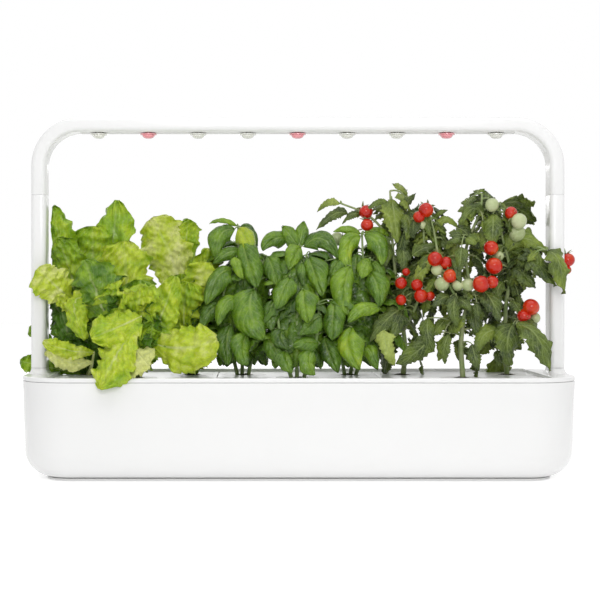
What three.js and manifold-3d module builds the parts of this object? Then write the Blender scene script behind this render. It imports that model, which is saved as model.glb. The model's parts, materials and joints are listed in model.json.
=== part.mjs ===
// Countertop hydroponic garden: a long white tank with three lift-out trays of three pods
// each, nine grown plants, and an LED bar on an arch that stands on two extension arms.
// Millimetres. X runs along the tank, Y runs to its back, Z runs up from the table.
import * as THREE from 'three';
import { mergeVertices } from 'three/addons/utils/BufferGeometryUtils.js';
import Module from 'manifold-3d';

const wasm = await Module();
wasm.setup();

// Clearances shared by all pieces
const fitGap = 0.3;
const seamGap = 0.4;
const slideGap = 0.5;
const overrun = 2;
const mergeReach = 0.0005;
const leastRadius = 0.5;

// Tank
const bodyLength = 603;
const bodyDepth = 183;
const bodyCornerRadius = 55;
const tubWallHeight = 104.1;
const tubWall = 2.5;
const tubBottomRadius = 30;
const tubDraftShare = 0.032;

// Plinth and feet
const footRadius = 9;
const footHeight = 1.6;
const footRecess = 1.1;
const footInset = 22;
const plinthInset = 26.5;
const plinthThickness = 2.1;

// Rim frame
const rimThickness = 4.7;
const rimEdgeRound = 1.4;
const rimSideWidth = 10;
const rimEndWidth = 31.5;
const openingRadius = 6;
const skirtThickness = 2.2;
const skirtDepth = 9.7;
const ledgeWidth = 3;
const ledgeThickness = 1.8;
const crossbarHalfThickness = 2.5;

// Trays and their wells
const trayCount = 3;
const podsPerTray = 3;
const trayRecess = 3.4;
const trayThickness = 2.7;
const podSideMargin = 30;
const sleeveWall = 1.4;
const sleeveDepth = 38;

// Pod cups and their soil plugs
const podTopRadius = 21.5;
const podBottomRadius = 18;
const podDepth = 43;
const podWall = 1.2;
const podLidHole = 11;
const podBottomHole = 14;
const podFlangeRadius = 23.5;
const podFlangeThickness = 1.2;

// Filling port and float
const guideRadius = 12.5;
const guideWall = 2;
const guideFlangeRadius = 14.5;
const guideFlangeThickness = 1.2;
const guideLength = 81;
const guideLipWidth = 3.5;
const guideLipThickness = 1.5;
const guideEndInset = 28;
const guideFrontInset = 36.5;
const floatClearance = 1.5;
const floatHeight = 14;
const floatRodRadius = 2.5;
const floatRodLength = 16;
const indicatorRadius = 6;
const indicatorSkirt = 6;
const indicatorRimThickness = 1;
const indicatorCrownThickness = 1.5;

// Legs, arms and lamp arch
const legInset = 4;
const legHalfWidth = 8.3;
const legHalfDepth = 15;
const legCornerRadius = 4;
const legWall = 2.4;
const legBoreRadius = 2;
const bossHeight = 6.2;
const bossFlare = 8.2;
const armLength = 192.7;
const archRise = 86.5;
const archBendRadius = 54.5;
const plugDepth = 34;
const plugGrip = 25;
const contactHeight = 5;
const contactBoreRadius = 1.2;
const socketWall = 2.2;

// Lamp
const ledCount = 9;
const ledEndMargin = 19.8;
const stripHalfWidth = 10;
const stripThickness = 2;
const boardHalfWidth = 9;
const boardThickness = 1.6;
const boardEndMargin = 7;
const lensStemRadius = 3.8;
const lensFlangeRadius = 11;
const lensFlangeThickness = 0.8;
const lensDomeRadius = 7.8;
const lensDomeDepth = 5.4;

// Power inlet and its dry box
const inletFromOpeningEnd = 40;
const dryBoxHalfLength = 16.5;
const dryBoxDepth = 32.4;
const dryBoxHeight = 21.5;
const dryBoxWall = 1.8;
const dryBoxFaceInset = 1.1;
const inletRecess = 6.4;
const inletBodyDepth = 9;
const inletBoreRadius = 4;
const inletBoreDepth = 7;
const inletPinRadius = 1;
const driverBoardDepth = 13;
const driverBoardRise = 7;
const chipSize = 7;
const chipThickness = 1.8;
const capacitorRadius = 3;
const capacitorHeight = 6.5;
const leadRadius = 1.5;
const leadHoleRadius = 2.1;
const leadStandOff = 7;

// Plants: the space between deck and lamp that each kind fills, and its leaves
const lettuceGrowthShare = 0.69;
const basilGrowthShare = 0.64;
const tomatoGrowthShare = 0.78;
const lowLeafHeight = 36;
const growGap = 1.2;
const roomSharpness = 5;
const leafThickness = 2;
const leafTipHalfWidth = 1.1;
const leafStalkHalfWidth = 1.8;
const leafBulgeShare = 0.75;
const crownRadius = 7;
const stemRadius = 2.8;
const stemTipRadius = 1.5;
const basilStemPlace = 3.4;
const tomatoStemWander = 5.6;
const lettuceLeafWidth = 70;
const lettuceRuffle = 3.6;
const basilLeafLength = 62;
const basilLeafWidth = 44;
const tomatoLeafLength = 84;
const tomatoLeafWidth = 56;
const tomatoTopLeafShare = 0.6;
const tomatoFruitRadius = 8.5;
const trussRadius = 1.4;
const trussStep = 9.4;
const trussSagShare = 0.35;
const fruitHangShare = 0.7;

// Counts of steps round curves
const bodyCornerSteps = 6;
const smallCornerSteps = 3;
const filletSteps = 5;
const bendSteps = 6;
const podSides = 12;
const lensSides = 10;
const smallSides = 12;
const leadSides = 6;
const stepsPerPoint = 3;
const broadLeafSteps = 5;
const smallLeafSteps = 4;
const quarterTurn = Math.PI / 2;
const goldenTurn = Math.PI * (3 - Math.sqrt(5));

// Heights
const plinthBottom = footHeight - footRecess + fitGap;
const plinthTop = plinthBottom + plinthThickness;
const tubBottom = plinthTop + fitGap;
const tubTop = tubBottom + tubWallHeight;
const rimBottom = tubTop + seamGap;
const rimTop = rimBottom + rimThickness;
const trayTop = rimTop - trayRecess;
const trayBottom = trayTop - trayThickness;
const ledgeTop = trayBottom - fitGap;
const ledgeBottom = ledgeTop - ledgeThickness;
const skirtBottom = rimBottom - skirtDepth;
const socketTop = rimTop + bossHeight;
const armBottom = socketTop + seamGap;
const armTop = armBottom + armLength;
const lampBottom = armTop + seamGap;
const archTop = lampBottom + archRise;
const archBeamHeight = archTop - legHalfWidth;
const archUnderside = archTop - legHalfWidth - legHalfWidth;

// Places along X and Y
const bodyHalfLength = bodyLength / 2;
const bodyHalfDepth = bodyDepth / 2;
const openingHalfLength = bodyHalfLength - rimEndWidth;
const openingHalfDepth = bodyHalfDepth - rimSideWidth;
const trayPitch = openingHalfLength * 2 / trayCount;
const podPitch = trayPitch / podsPerTray;
const podRowOffset = openingHalfDepth - podFlangeRadius - podSideMargin;
const legPlace = bodyHalfLength - legInset - legHalfWidth;
const legInnerPlace = legPlace - legHalfWidth;
const boreHalfWidth = legHalfWidth - legWall;
const boreHalfDepth = legHalfDepth - legWall;
const bendCentreRadius = archBendRadius - legHalfWidth;
const beamHalfLength = legPlace - bendCentreRadius;

// Materials, one for each mesh
const finishes = {
  shell: { color: 0xf3f3f1, roughness: 0.28, metalness: 0 },
  inner: { color: 0xe6e6e3, roughness: 0.5, metalness: 0 },
  cup: { color: 0xf0efea, roughness: 0.45, metalness: 0 },
  rubber: { color: 0x3b3b3c, roughness: 0.9, metalness: 0 },
  floatFoam: { color: 0xf2b233, roughness: 0.6, metalness: 0 },
  clearLens: { color: 0xdfe0d8, roughness: 0.12, metalness: 0 },
  redLens: { color: 0xf2a0a8, roughness: 0.12, metalness: 0 },
  board: { color: 0xd9dcdf, roughness: 0.4, metalness: 0.6 },
  circuit: { color: 0x2c6b3c, roughness: 0.5, metalness: 0.1 },
  contact: { color: 0xc9a24c, roughness: 0.35, metalness: 0.9 },
  darkPlastic: { color: 0x2a2a2b, roughness: 0.5, metalness: 0 },
  lettuce: { color: 0x9fc83a, roughness: 0.55, metalness: 0 },
  basil: { color: 0x4f8f2c, roughness: 0.4, metalness: 0 },
  tomato: { color: 0x3f6b32, roughness: 0.6, metalness: 0 },
};
const garden = new THREE.Group();

function addPiece(name, geometry, finish, place = [0, 0, 0]) {
  const mesh = new THREE.Mesh(geometry, new THREE.MeshStandardMaterial(finishes[finish]));
  mesh.name = name;
  mesh.position.set(...place);
  garden.add(mesh);
}

// Mesh helpers: every closed geometry is turned to face out before it is used
function facingOut(geometry) {
  const bare = geometry.clone();
  bare.deleteAttribute('normal');
  bare.deleteAttribute('uv');
  const merged = mergeVertices(bare, mergeReach);
  const places = merged.attributes.position;
  const corner = [new THREE.Vector3(), new THREE.Vector3(), new THREE.Vector3()];
  const faces = [];
  let volume = 0;
  for (let start = 0; start < merged.index.count; start += 3) {
    const [a, b, c] = [0, 1, 2].map((step) => merged.index.getX(start + step));
    if (a !== b && b !== c && c !== a) {
      [a, b, c].forEach((vertex, step) => corner[step].fromBufferAttribute(places, vertex));
      volume += corner[0].dot(corner[1].cross(corner[2]));
      faces.push([a, b, c]);
    }
  }
  const turned = volume < 0 ? faces.map(([a, b, c]) => [a, c, b]) : faces;
  merged.setIndex(turned.flat());
  merged.computeVertexNormals();
  return merged;
}

function solidOf(geometry) {
  const ready = facingOut(geometry);
  return new wasm.Manifold(new wasm.Mesh({
    numProp: 3,
    vertProperties: new Float32Array(ready.attributes.position.array),
    triVerts: new Uint32Array(ready.index.array),
  }));
}

function geometryOf(solid) {
  const mesh = solid.getMesh();
  const geometry = new THREE.BufferGeometry();
  geometry.setAttribute('position', new THREE.BufferAttribute(mesh.vertProperties, mesh.numProp));
  geometry.setIndex(new THREE.BufferAttribute(mesh.triVerts, 1));
  geometry.computeVertexNormals();
  return geometry;
}

// Leaves that cross can close off a hollow: its inner skin, which faces inwards, is left out
function withoutHollows(geometry) {
  const places = geometry.attributes.position;
  const owner = Array.from({ length: places.count }, (_, vertex) => vertex);
  const rootOf = (vertex) => {
    let root = vertex;
    while (owner[root] !== root) root = owner[root];
    owner[vertex] = root;
    return root;
  };
  const faces = Array.from({ length: geometry.index.count / 3 }, (_, face) => (
    [0, 1, 2].map((step) => geometry.index.getX(face * 3 + step))));
  faces.forEach(([a, b, c]) => {
    owner[rootOf(b)] = rootOf(a);
    owner[rootOf(c)] = rootOf(a);
  });
  const volumes = new Map();
  faces.forEach((face) => {
    const [a, b, c] = face.map((vertex) => (
      new THREE.Vector3().fromBufferAttribute(places, vertex)));
    const shell = rootOf(face[0]);
    volumes.set(shell, (volumes.get(shell) ?? 0) + a.dot(b.cross(c)));
  });
  geometry.setIndex(faces.filter((face) => volumes.get(rootOf(face[0])) > 0).flat());
  return facingOut(geometry);
}

function united(solids) {
  return solids.reduce((whole, solid) => whole.add(solid));
}

function without(solid, cuts) {
  return cuts.reduce((left, cut) => left.subtract(cut), solid);
}

// A skin over rings of equal point counts, closed at both ends by a fan about its middle. In a
// thin leaf each cut across a patch of its upper skin matches the one below it, or they cross.
function loft(rings, matched = false) {
  const sides = rings[0].length;
  const points = rings.flat();
  const faces = [];
  for (let ring = 1; ring < rings.length; ring += 1) {
    for (let side = 0; side < sides; side += 1) {
      const next = (side + 1) % sides;
      const [low, high] = [(ring - 1) * sides, ring * sides];
      faces.push(...(matched && side % 2 === 1
        ? [low + side, low + next, high + side, low + next, high + next, high + side]
        : [low + side, low + next, high + next, low + side, high + next, high + side]));
    }
  }
  [0, rings.length - 1].forEach((ring) => {
    const middle = new THREE.Vector3();
    rings[ring].forEach((point) => middle.addScaledVector(point, 1 / sides));
    const hub = points.push(middle) - 1;
    for (let side = 0; side < sides; side += 1) {
      const [here, next] = [ring * sides + side, ring * sides + (side + 1) % sides];
      faces.push(...(ring === 0 ? [hub, next, here] : [hub, here, next]));
    }
  });
  const geometry = new THREE.BufferGeometry();
  geometry.setAttribute('position', new THREE.Float32BufferAttribute(
    points.flatMap((point) => point.toArray()), 3));
  geometry.setIndex(faces);
  return geometry;
}

function roundedOutline(halfX, halfY, radius, steps, centreX = 0, centreY = 0) {
  const round = Math.max(Math.min(radius, halfX, halfY), leastRadius);
  const corners = [[1, 1], [-1, 1], [-1, -1], [1, -1]];
  return corners.flatMap(([sideX, sideY], corner) => (
    Array.from({ length: steps + 1 }, (_, step) => {
      const angle = (corner + step / steps) * quarterTurn;
      return new THREE.Vector2(
        centreX + sideX * (halfX - round) + round * Math.cos(angle),
        centreY + sideY * (halfY - round) + round * Math.sin(angle));
    })
  ));
}

function bodyOutline(inset) {
  return roundedOutline(bodyHalfLength - inset, bodyHalfDepth - inset,
    bodyCornerRadius - inset, bodyCornerSteps);
}

function ringAt(outline, height) {
  return outline.map((point) => new THREE.Vector3(point.x, point.y, height));
}

function prism(outline, bottom, top) {
  return solidOf(loft([ringAt(outline, bottom), ringAt(outline, top)]));
}

function block(fromX, toX, fromY, toY, fromZ, toZ) {
  const box = new THREE.BoxGeometry(toX - fromX, toY - fromY, toZ - fromZ);
  box.translate((fromX + toX) / 2, (fromY + toY) / 2, (fromZ + toZ) / 2);
  return solidOf(box);
}

function revolved(profile, sides, x = 0, y = 0) {
  const points = profile.map(([radius, height]) => new THREE.Vector2(radius, height));
  const lathe = new THREE.LatheGeometry(points, sides);
  lathe.rotateX(quarterTurn);
  lathe.translate(x, y, 0);
  return lathe;
}

function postAt(x, y, bottom, top, radius, sides) {
  return solidOf(revolved([[0, bottom], [radius, bottom], [radius, top], [0, top]], sides, x, y));
}

function rodAlong(points, radius, sides) {
  const curve = new THREE.CatmullRomCurve3(points, false, 'centripetal');
  const section = new THREE.Shape(Array.from({ length: sides }, (_, side) => {
    const angle = side / sides * quarterTurn * 4;
    return new THREE.Vector2(radius * Math.cos(angle), radius * Math.sin(angle));
  }));
  return new THREE.ExtrudeGeometry(section, {
    steps: points.length * stepsPerPoint, extrudePath: curve, bevelEnabled: false,
  });
}

// Places of the repeated pieces
const trayPlaces = Array.from({ length: trayCount }, (_, tray) => (
  (tray - (trayCount - 1) / 2) * trayPitch));
const podPlaces = trayPlaces.flatMap((trayPlace, tray) => (
  Array.from({ length: podsPerTray }, (_, pod) => ({
    tray,
    x: trayPlace + (pod - (podsPerTray - 1) / 2) * podPitch,
    y: pod % 2 === 0 ? podRowOffset : -podRowOffset,
  }))));

function addTub() {
  const straightInset = tubDraftShare * (tubWallHeight - tubBottomRadius);
  const innerRadius = tubBottomRadius - tubWall;
  const turns = Array.from({ length: filletSteps + 1 }, (_, step) => (
    step / filletSteps * quarterTurn));
  const filletRing = (radius, bottom, inset) => (turn) => ringAt(
    bodyOutline(inset + straightInset + radius * (1 - Math.sin(turn))),
    bottom + radius * (1 - Math.cos(turn)));
  const shell = solidOf(loft([
    ...turns.map(filletRing(tubBottomRadius, tubBottom, 0)),
    ringAt(bodyOutline(0), tubTop),
    ringAt(bodyOutline(tubWall), tubTop),
    ...turns.map(filletRing(innerRadius, tubBottom + tubWall, tubWall)).reverse(),
  ]));
  const notch = block(
    inletPlace - dryBoxHalfLength - slideGap, inletPlace + dryBoxHalfLength + slideGap,
    bodyHalfDepth - overrun - tubWall - tubWall, bodyHalfDepth + overrun,
    dryBoxBottom - slideGap, tubTop + overrun);
  addPiece('reservoir_tub', geometryOf(without(shell, [notch])), 'shell');
}

// The dry box hangs from the rim frame behind the trays and opens through the tank's back
const inletPlace = -(openingHalfLength - inletFromOpeningEnd);
const dryBoxTop = ledgeBottom + ledgeThickness / 2;
const dryBoxBottom = dryBoxTop - dryBoxHeight;
const dryBoxFace = bodyHalfDepth - dryBoxFaceInset;
const dryBoxFront = dryBoxFace - dryBoxDepth;
const inletFace = dryBoxFace - inletRecess;
const driverBoardBottom = dryBoxBottom + dryBoxWall + driverBoardRise;
const driverBoardTop = driverBoardBottom + boardThickness;
const leadHeight = driverBoardTop + fitGap + leadRadius;
const leadStart = dryBoxFront + dryBoxWall + leadStandOff;
const contactTop = armBottom - plugDepth - fitGap;
const contactBottom = contactTop - contactHeight;
const socketBottom = contactBottom - fitGap - socketWall;

function addPlinthAndFeet() {
  const places = [['front_left', -1, -1], ['front_right', 1, -1], ['back_left', -1, 1],
    ['back_right', 1, 1]].map(([name, sideX, sideY]) => ({
    name,
    x: sideX * (bodyHalfLength - plinthInset - footInset),
    y: sideY * (bodyHalfDepth - plinthInset - footInset),
  }));
  const plate = prism(bodyOutline(plinthInset), plinthBottom, plinthTop);
  const recesses = places.map(({ x, y }) => postAt(
    x, y, plinthBottom - overrun, footHeight + fitGap, footRadius + slideGap, podSides));
  addPiece('base_plinth', geometryOf(without(plate, recesses)), 'inner');
  places.forEach(({ name, x, y }) => {
    const foot = revolved([[0, 0], [footRadius, 0], [footRadius, footHeight], [0, footHeight]],
      podSides);
    addPiece(`foot_${name}`, facingOut(foot), 'rubber', [x, y, 0]);
  });
}

// The rim frame: band, skirt, ledge, crossbars, two leg sockets and the dry box in one moulding
function rimRing(outer, inner, bottom, top) {
  const opening = (spread) => roundedOutline(openingHalfLength + spread,
    openingHalfDepth + spread, openingRadius + spread, smallCornerSteps);
  return without(prism(opening(outer), bottom, top),
    [prism(opening(inner), bottom - overrun, top + overrun)]);
}

function legOutline(spread, side) {
  return roundedOutline(legHalfWidth + spread, legHalfDepth + spread,
    legCornerRadius + spread, smallCornerSteps, side * legPlace);
}

function boreOutline(shrink, side) {
  return roundedOutline(boreHalfWidth - shrink, boreHalfDepth - shrink, legBoreRadius,
    1, side * legPlace);
}

function socketBoss(side) {
  const flareRing = (_, step) => {
    const share = step / filletSteps;
    const spread = bossFlare * (1 - Math.sqrt(1 - (1 - share) ** 2));
    return ringAt(legOutline(spread, side), rimTop - rimEdgeRound
      + share * (bossHeight + rimEdgeRound));
  };
  const flare = solidOf(loft(Array.from({ length: filletSteps + 1 }, flareRing)));
  const limit = prism(bodyOutline(rimEdgeRound / 2), rimBottom, socketTop + overrun);
  const pocketWalls = prism(boreOutline(-socketWall, side), socketBottom, rimBottom + seamGap);
  return flare.intersect(limit).add(pocketWalls);
}

function addRimFrame() {
  const band = solidOf(loft([
    ringAt(bodyOutline(0), rimBottom),
    ringAt(bodyOutline(0), rimTop - rimEdgeRound),
    ringAt(bodyOutline(rimEdgeRound / 3), rimTop - rimEdgeRound / 3),
    ringAt(bodyOutline(rimEdgeRound), rimTop),
  ]));
  const opening = prism(roundedOutline(openingHalfLength, openingHalfDepth, openingRadius,
    smallCornerSteps), skirtBottom - overrun, rimTop + overrun);
  const crossbars = Array.from({ length: trayCount - 1 }, (_, bar) => {
    const place = trayPlaces[bar] + trayPitch / 2;
    return block(place - crossbarHalfThickness, place + crossbarHalfThickness,
      -openingHalfDepth - skirtThickness / 2, openingHalfDepth + skirtThickness / 2,
      skirtBottom, ledgeTop);
  });
  const dryBox = block(inletPlace - dryBoxHalfLength, inletPlace + dryBoxHalfLength,
    dryBoxFront, dryBoxFace, dryBoxBottom, dryBoxTop);
  const boxToBand = block(inletPlace - dryBoxHalfLength, inletPlace + dryBoxHalfLength,
    openingHalfDepth + skirtThickness / 2, dryBoxFace, dryBoxTop - overrun, rimBottom + seamGap);
  const solids = [
    without(band, [opening]),
    rimRing(skirtThickness, 0, skirtBottom, rimBottom + seamGap),
    rimRing(skirtThickness / 2, -ledgeWidth, ledgeBottom, ledgeTop),
    ...crossbars, dryBox, boxToBand, socketBoss(-1), socketBoss(1),
  ];
  const pockets = [-1, 1].map((side) => prism(boreOutline(0, side),
    socketBottom + socketWall, socketTop + overrun));
  const dryRoom = block(inletPlace - dryBoxHalfLength + dryBoxWall,
    inletPlace + dryBoxHalfLength - dryBoxWall, dryBoxFront + dryBoxWall,
    dryBoxFace + overrun, dryBoxBottom + dryBoxWall, dryBoxTop - dryBoxWall);
  const boxLeadHole = block(inletPlace - dryBoxHalfLength - overrun, inletPlace,
    leadStart - leadHoleRadius, leadStart + leadHoleRadius,
    driverBoardTop + fitGap / 2, leadHeight + leadHoleRadius);
  const contactLeadHole = block(-legPlace - leadHoleRadius, -legPlace + leadHoleRadius,
    0, boreHalfDepth + socketWall + overrun,
    contactBottom + fitGap, contactTop - fitGap);
  addPiece('rim_frame', geometryOf(without(united(solids),
    [...pockets, dryRoom, boxLeadHole, contactLeadHole])), 'shell');
}

function addSocketContacts() {
  [['left', -1], ['right', 1]].forEach(([name, side]) => {
    const body = prism(boreOutline(fitGap, side), contactBottom, contactTop);
    const bore = postAt(side * legPlace, 0, contactTop - contactHeight / 2,
      contactTop + overrun, contactBoreRadius, smallSides);
    addPiece(`socket_contact_${name}`, geometryOf(without(body, [bore])), 'contact');
  });
}

// Trays, with a sleeve under each pod's hole
const wellTopRadius = podTopRadius + slideGap;
const wellBottomRadius = podTopRadius + slideGap
  - (podTopRadius - podBottomRadius) * (sleeveDepth + trayThickness) / podDepth;
const guidePlace = {
  x: openingHalfLength - guideEndInset,
  y: -(openingHalfDepth - guideFrontInset),
};

function addTrays() {
  ['left', 'middle', 'right'].forEach((name, tray) => {
    const plate = prism(roundedOutline(trayPitch / 2 - fitGap, openingHalfDepth - seamGap,
      openingRadius - seamGap, smallCornerSteps, trayPlaces[tray]), trayBottom, trayTop);
    const wells = podPlaces.filter((pod) => pod.tray === tray);
    const sleeves = wells.map(({ x, y }) => solidOf(revolved([
      [0, trayBottom - sleeveDepth], [wellBottomRadius + sleeveWall, trayBottom - sleeveDepth],
      [wellTopRadius + sleeveWall, trayBottom + fitGap], [0, trayBottom + fitGap],
    ], podSides, x, y)));
    const bores = wells.map(({ x, y }) => solidOf(revolved([
      [0, trayBottom - sleeveDepth - overrun], [wellBottomRadius, trayBottom - sleeveDepth - overrun],
      [wellBottomRadius, trayBottom - sleeveDepth],
      [wellTopRadius, trayTop - podFlangeThickness - fitGap],
      [podFlangeRadius + slideGap, trayTop - podFlangeThickness - fitGap],
      [podFlangeRadius + slideGap, trayTop + overrun], [0, trayTop + overrun],
    ], podSides, x, y)));
    const ports = tray === trayCount - 1 ? [solidOf(revolved([
      [0, trayBottom - overrun], [guideRadius + fitGap, trayBottom - overrun],
      [guideRadius + fitGap, trayTop - guideFlangeThickness - fitGap],
      [guideFlangeRadius + fitGap, trayTop - guideFlangeThickness - fitGap],
      [guideFlangeRadius + fitGap, trayTop + overrun], [0, trayTop + overrun],
    ], podSides, guidePlace.x, guidePlace.y))] : [];
    addPiece(`tray_${name}`, geometryOf(without(united([plate, ...sleeves]),
      [...bores, ...ports])), 'shell');
  });
}

function addPodCups() {
  const cupTop = trayTop;
  const cupBottom = trayTop - podDepth;
  const cup = [
    [podBottomHole, cupBottom], [podBottomRadius, cupBottom],
    [podTopRadius, cupTop - podFlangeThickness], [podFlangeRadius, cupTop - podFlangeThickness],
    [podFlangeRadius, cupTop], [podLidHole, cupTop], [podLidHole, cupTop - podFlangeThickness],
    [podTopRadius - podWall, cupTop - podFlangeThickness],
    [podBottomRadius - podWall, cupBottom + podWall], [podBottomHole, cupBottom + podWall],
    [podBottomHole, cupBottom],
  ];
  podPlaces.forEach(({ x, y }, pod) => {
    addPiece(`pod_cup_${pod + 1}`, facingOut(revolved(cup, podSides)), 'cup', [x, y, 0]);
  });
}

// Filling port with the float inside it
function addFloat() {
  const bottom = trayTop - guideLength;
  const bore = guideRadius - guideWall;
  const under = trayTop - guideFlangeThickness;
  const place = [guidePlace.x, guidePlace.y, 0];
  addPiece('float_guide', facingOut(revolved([
    [bore - guideLipWidth, bottom], [guideRadius, bottom], [guideRadius, under],
    [guideFlangeRadius, under], [guideFlangeRadius, trayTop], [bore, trayTop],
    [bore, bottom + guideLipThickness], [bore - guideLipWidth, bottom + guideLipThickness],
    [bore - guideLipWidth, bottom],
  ], podSides)), 'shell', place);
  const floatBottom = bottom + guideLipThickness + fitGap;
  const floatTop = floatBottom + floatHeight;
  const rodTop = floatTop + floatRodLength;
  const floatRadius = bore - floatClearance;
  addPiece('water_float', facingOut(revolved([
    [0, floatBottom], [floatRadius, floatBottom], [floatRadius, floatTop],
    [floatRodRadius, floatTop], [floatRodRadius, rodTop], [0, rodTop],
  ], smallSides)), 'cup', place);
  const capBottom = rodTop - indicatorSkirt;
  addPiece('float_indicator', facingOut(revolved([
    [floatRodRadius + fitGap, capBottom], [indicatorRadius, capBottom],
    [indicatorRadius, rodTop + fitGap + indicatorRimThickness],
    [0, rodTop + fitGap + indicatorCrownThickness],
    [0, rodTop + fitGap], [floatRodRadius + fitGap, rodTop + fitGap],
    [floatRodRadius + fitGap, capBottom],
  ], smallSides)), 'floatFoam', place);
}

function addArmsAndPlugs() {
  [['left', -1], ['right', 1]].forEach(([name, side]) => {
    const arm = prism(legOutline(0, side), armBottom, armTop);
    const bore = prism(boreOutline(0, side), armBottom - overrun, armTop + overrun);
    addPiece(`extension_arm_${name}`, geometryOf(without(arm, [bore])), 'shell');
    const plug = roundedOutline(boreHalfWidth - slideGap, boreHalfDepth - slideGap,
      legBoreRadius, 1, side * legPlace);
    addPiece(`arm_plug_${name}`, facingOut(loft([
      ringAt(plug, armBottom - plugDepth), ringAt(plug, armBottom + plugGrip)])), 'inner');
    addPiece(`lamp_plug_${name}`, facingOut(loft([
      ringAt(plug, lampBottom - plugDepth), ringAt(plug, lampBottom + plugGrip)])), 'inner');
  });
}

// The arch is a hollow rounded section swept up one leg, round two bends and down the other
function archRings(halfWidth, halfDepth, radius, steps, extra) {
  const section = roundedOutline(halfWidth, halfDepth, radius, steps);
  const beamHeight = archBeamHeight - bendCentreRadius;
  const stations = [{ x: -legPlace, z: lampBottom - extra, turn: 0 }];
  [[-1, 0], [1, 1]].forEach(([side, quarter]) => {
    for (let step = 0; step <= bendSteps; step += 1) {
      const turn = (quarter + step / bendSteps) * quarterTurn;
      stations.push({
        x: side * beamHalfLength - bendCentreRadius * Math.cos(turn),
        z: beamHeight + bendCentreRadius * Math.sin(turn),
        turn,
      });
    }
  });
  stations.push({ x: legPlace, z: lampBottom - extra, turn: quarterTurn * 2 });
  return stations.map(({ x, z, turn }) => section.map((point) => new THREE.Vector3(
    x + point.x * Math.cos(turn), point.y, z - point.x * Math.sin(turn))));
}

function addLampArch() {
  const outer = solidOf(loft(archRings(legHalfWidth, legHalfDepth, legCornerRadius,
    smallCornerSteps, 0)));
  const hollow = solidOf(loft(archRings(boreHalfWidth, boreHalfDepth, legBoreRadius, 1,
    overrun)));
  const slot = block(-beamHalfLength, beamHalfLength, -stripHalfWidth - fitGap,
    stripHalfWidth + fitGap, archUnderside - overrun, archUnderside + legWall + overrun);
  addPiece('lamp_arch', geometryOf(without(outer, [hollow, slot])), 'shell');
}

// Lens strip, LED board and lenses, from the bar's underside up
const stripBottom = archUnderside + fitGap;
const stripTop = stripBottom + stripThickness;
const ledBoardBottom = archUnderside + legWall + fitGap;
const ledBoardTop = ledBoardBottom + boardThickness;
const ledPitch = (beamHalfLength - ledEndMargin) * 2 / (ledCount - 1);
const ledPlaces = Array.from({ length: ledCount }, (_, led) => (led - (ledCount - 1) / 2) * ledPitch);

function addLamp() {
  const strip = block(-beamHalfLength + fitGap, beamHalfLength - fitGap, -stripHalfWidth,
    stripHalfWidth, stripBottom, stripTop);
  const holes = ledPlaces.map((place) => postAt(place, 0, stripBottom - overrun,
    stripTop + overrun, lensStemRadius + slideGap, lensSides));
  addPiece('lens_strip', geometryOf(without(strip, holes)), 'shell');
  addPiece('led_board', geometryOf(block(-beamHalfLength + boardEndMargin,
    beamHalfLength - boardEndMargin, -boardHalfWidth, boardHalfWidth, ledBoardBottom,
    ledBoardTop)), 'board');
  const flangeTop = archUnderside - fitGap;
  const flangeBottom = flangeTop - lensFlangeThickness;
  const domeShares = [[0.9, 0.6], [0.5, 0.97]];
  const lens = [
    [0, ledBoardBottom - fitGap], [lensStemRadius, ledBoardBottom - fitGap],
    [lensStemRadius, flangeTop], [lensFlangeRadius, flangeTop], [lensFlangeRadius, flangeBottom],
    [lensDomeRadius, flangeBottom],
    ...domeShares.map(([reachShare, depthShare]) => [
      lensDomeRadius * reachShare, flangeBottom - lensDomeDepth * depthShare]),
    [0, flangeBottom - lensDomeDepth],
  ];
  ledPlaces.forEach((place, led) => {
    addPiece(`led_lens_${led + 1}`, facingOut(revolved(lens, lensSides)),
      led % 3 === 1 ? 'redLens' : 'clearLens', [place, 0, 0]);
  });
}

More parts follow.
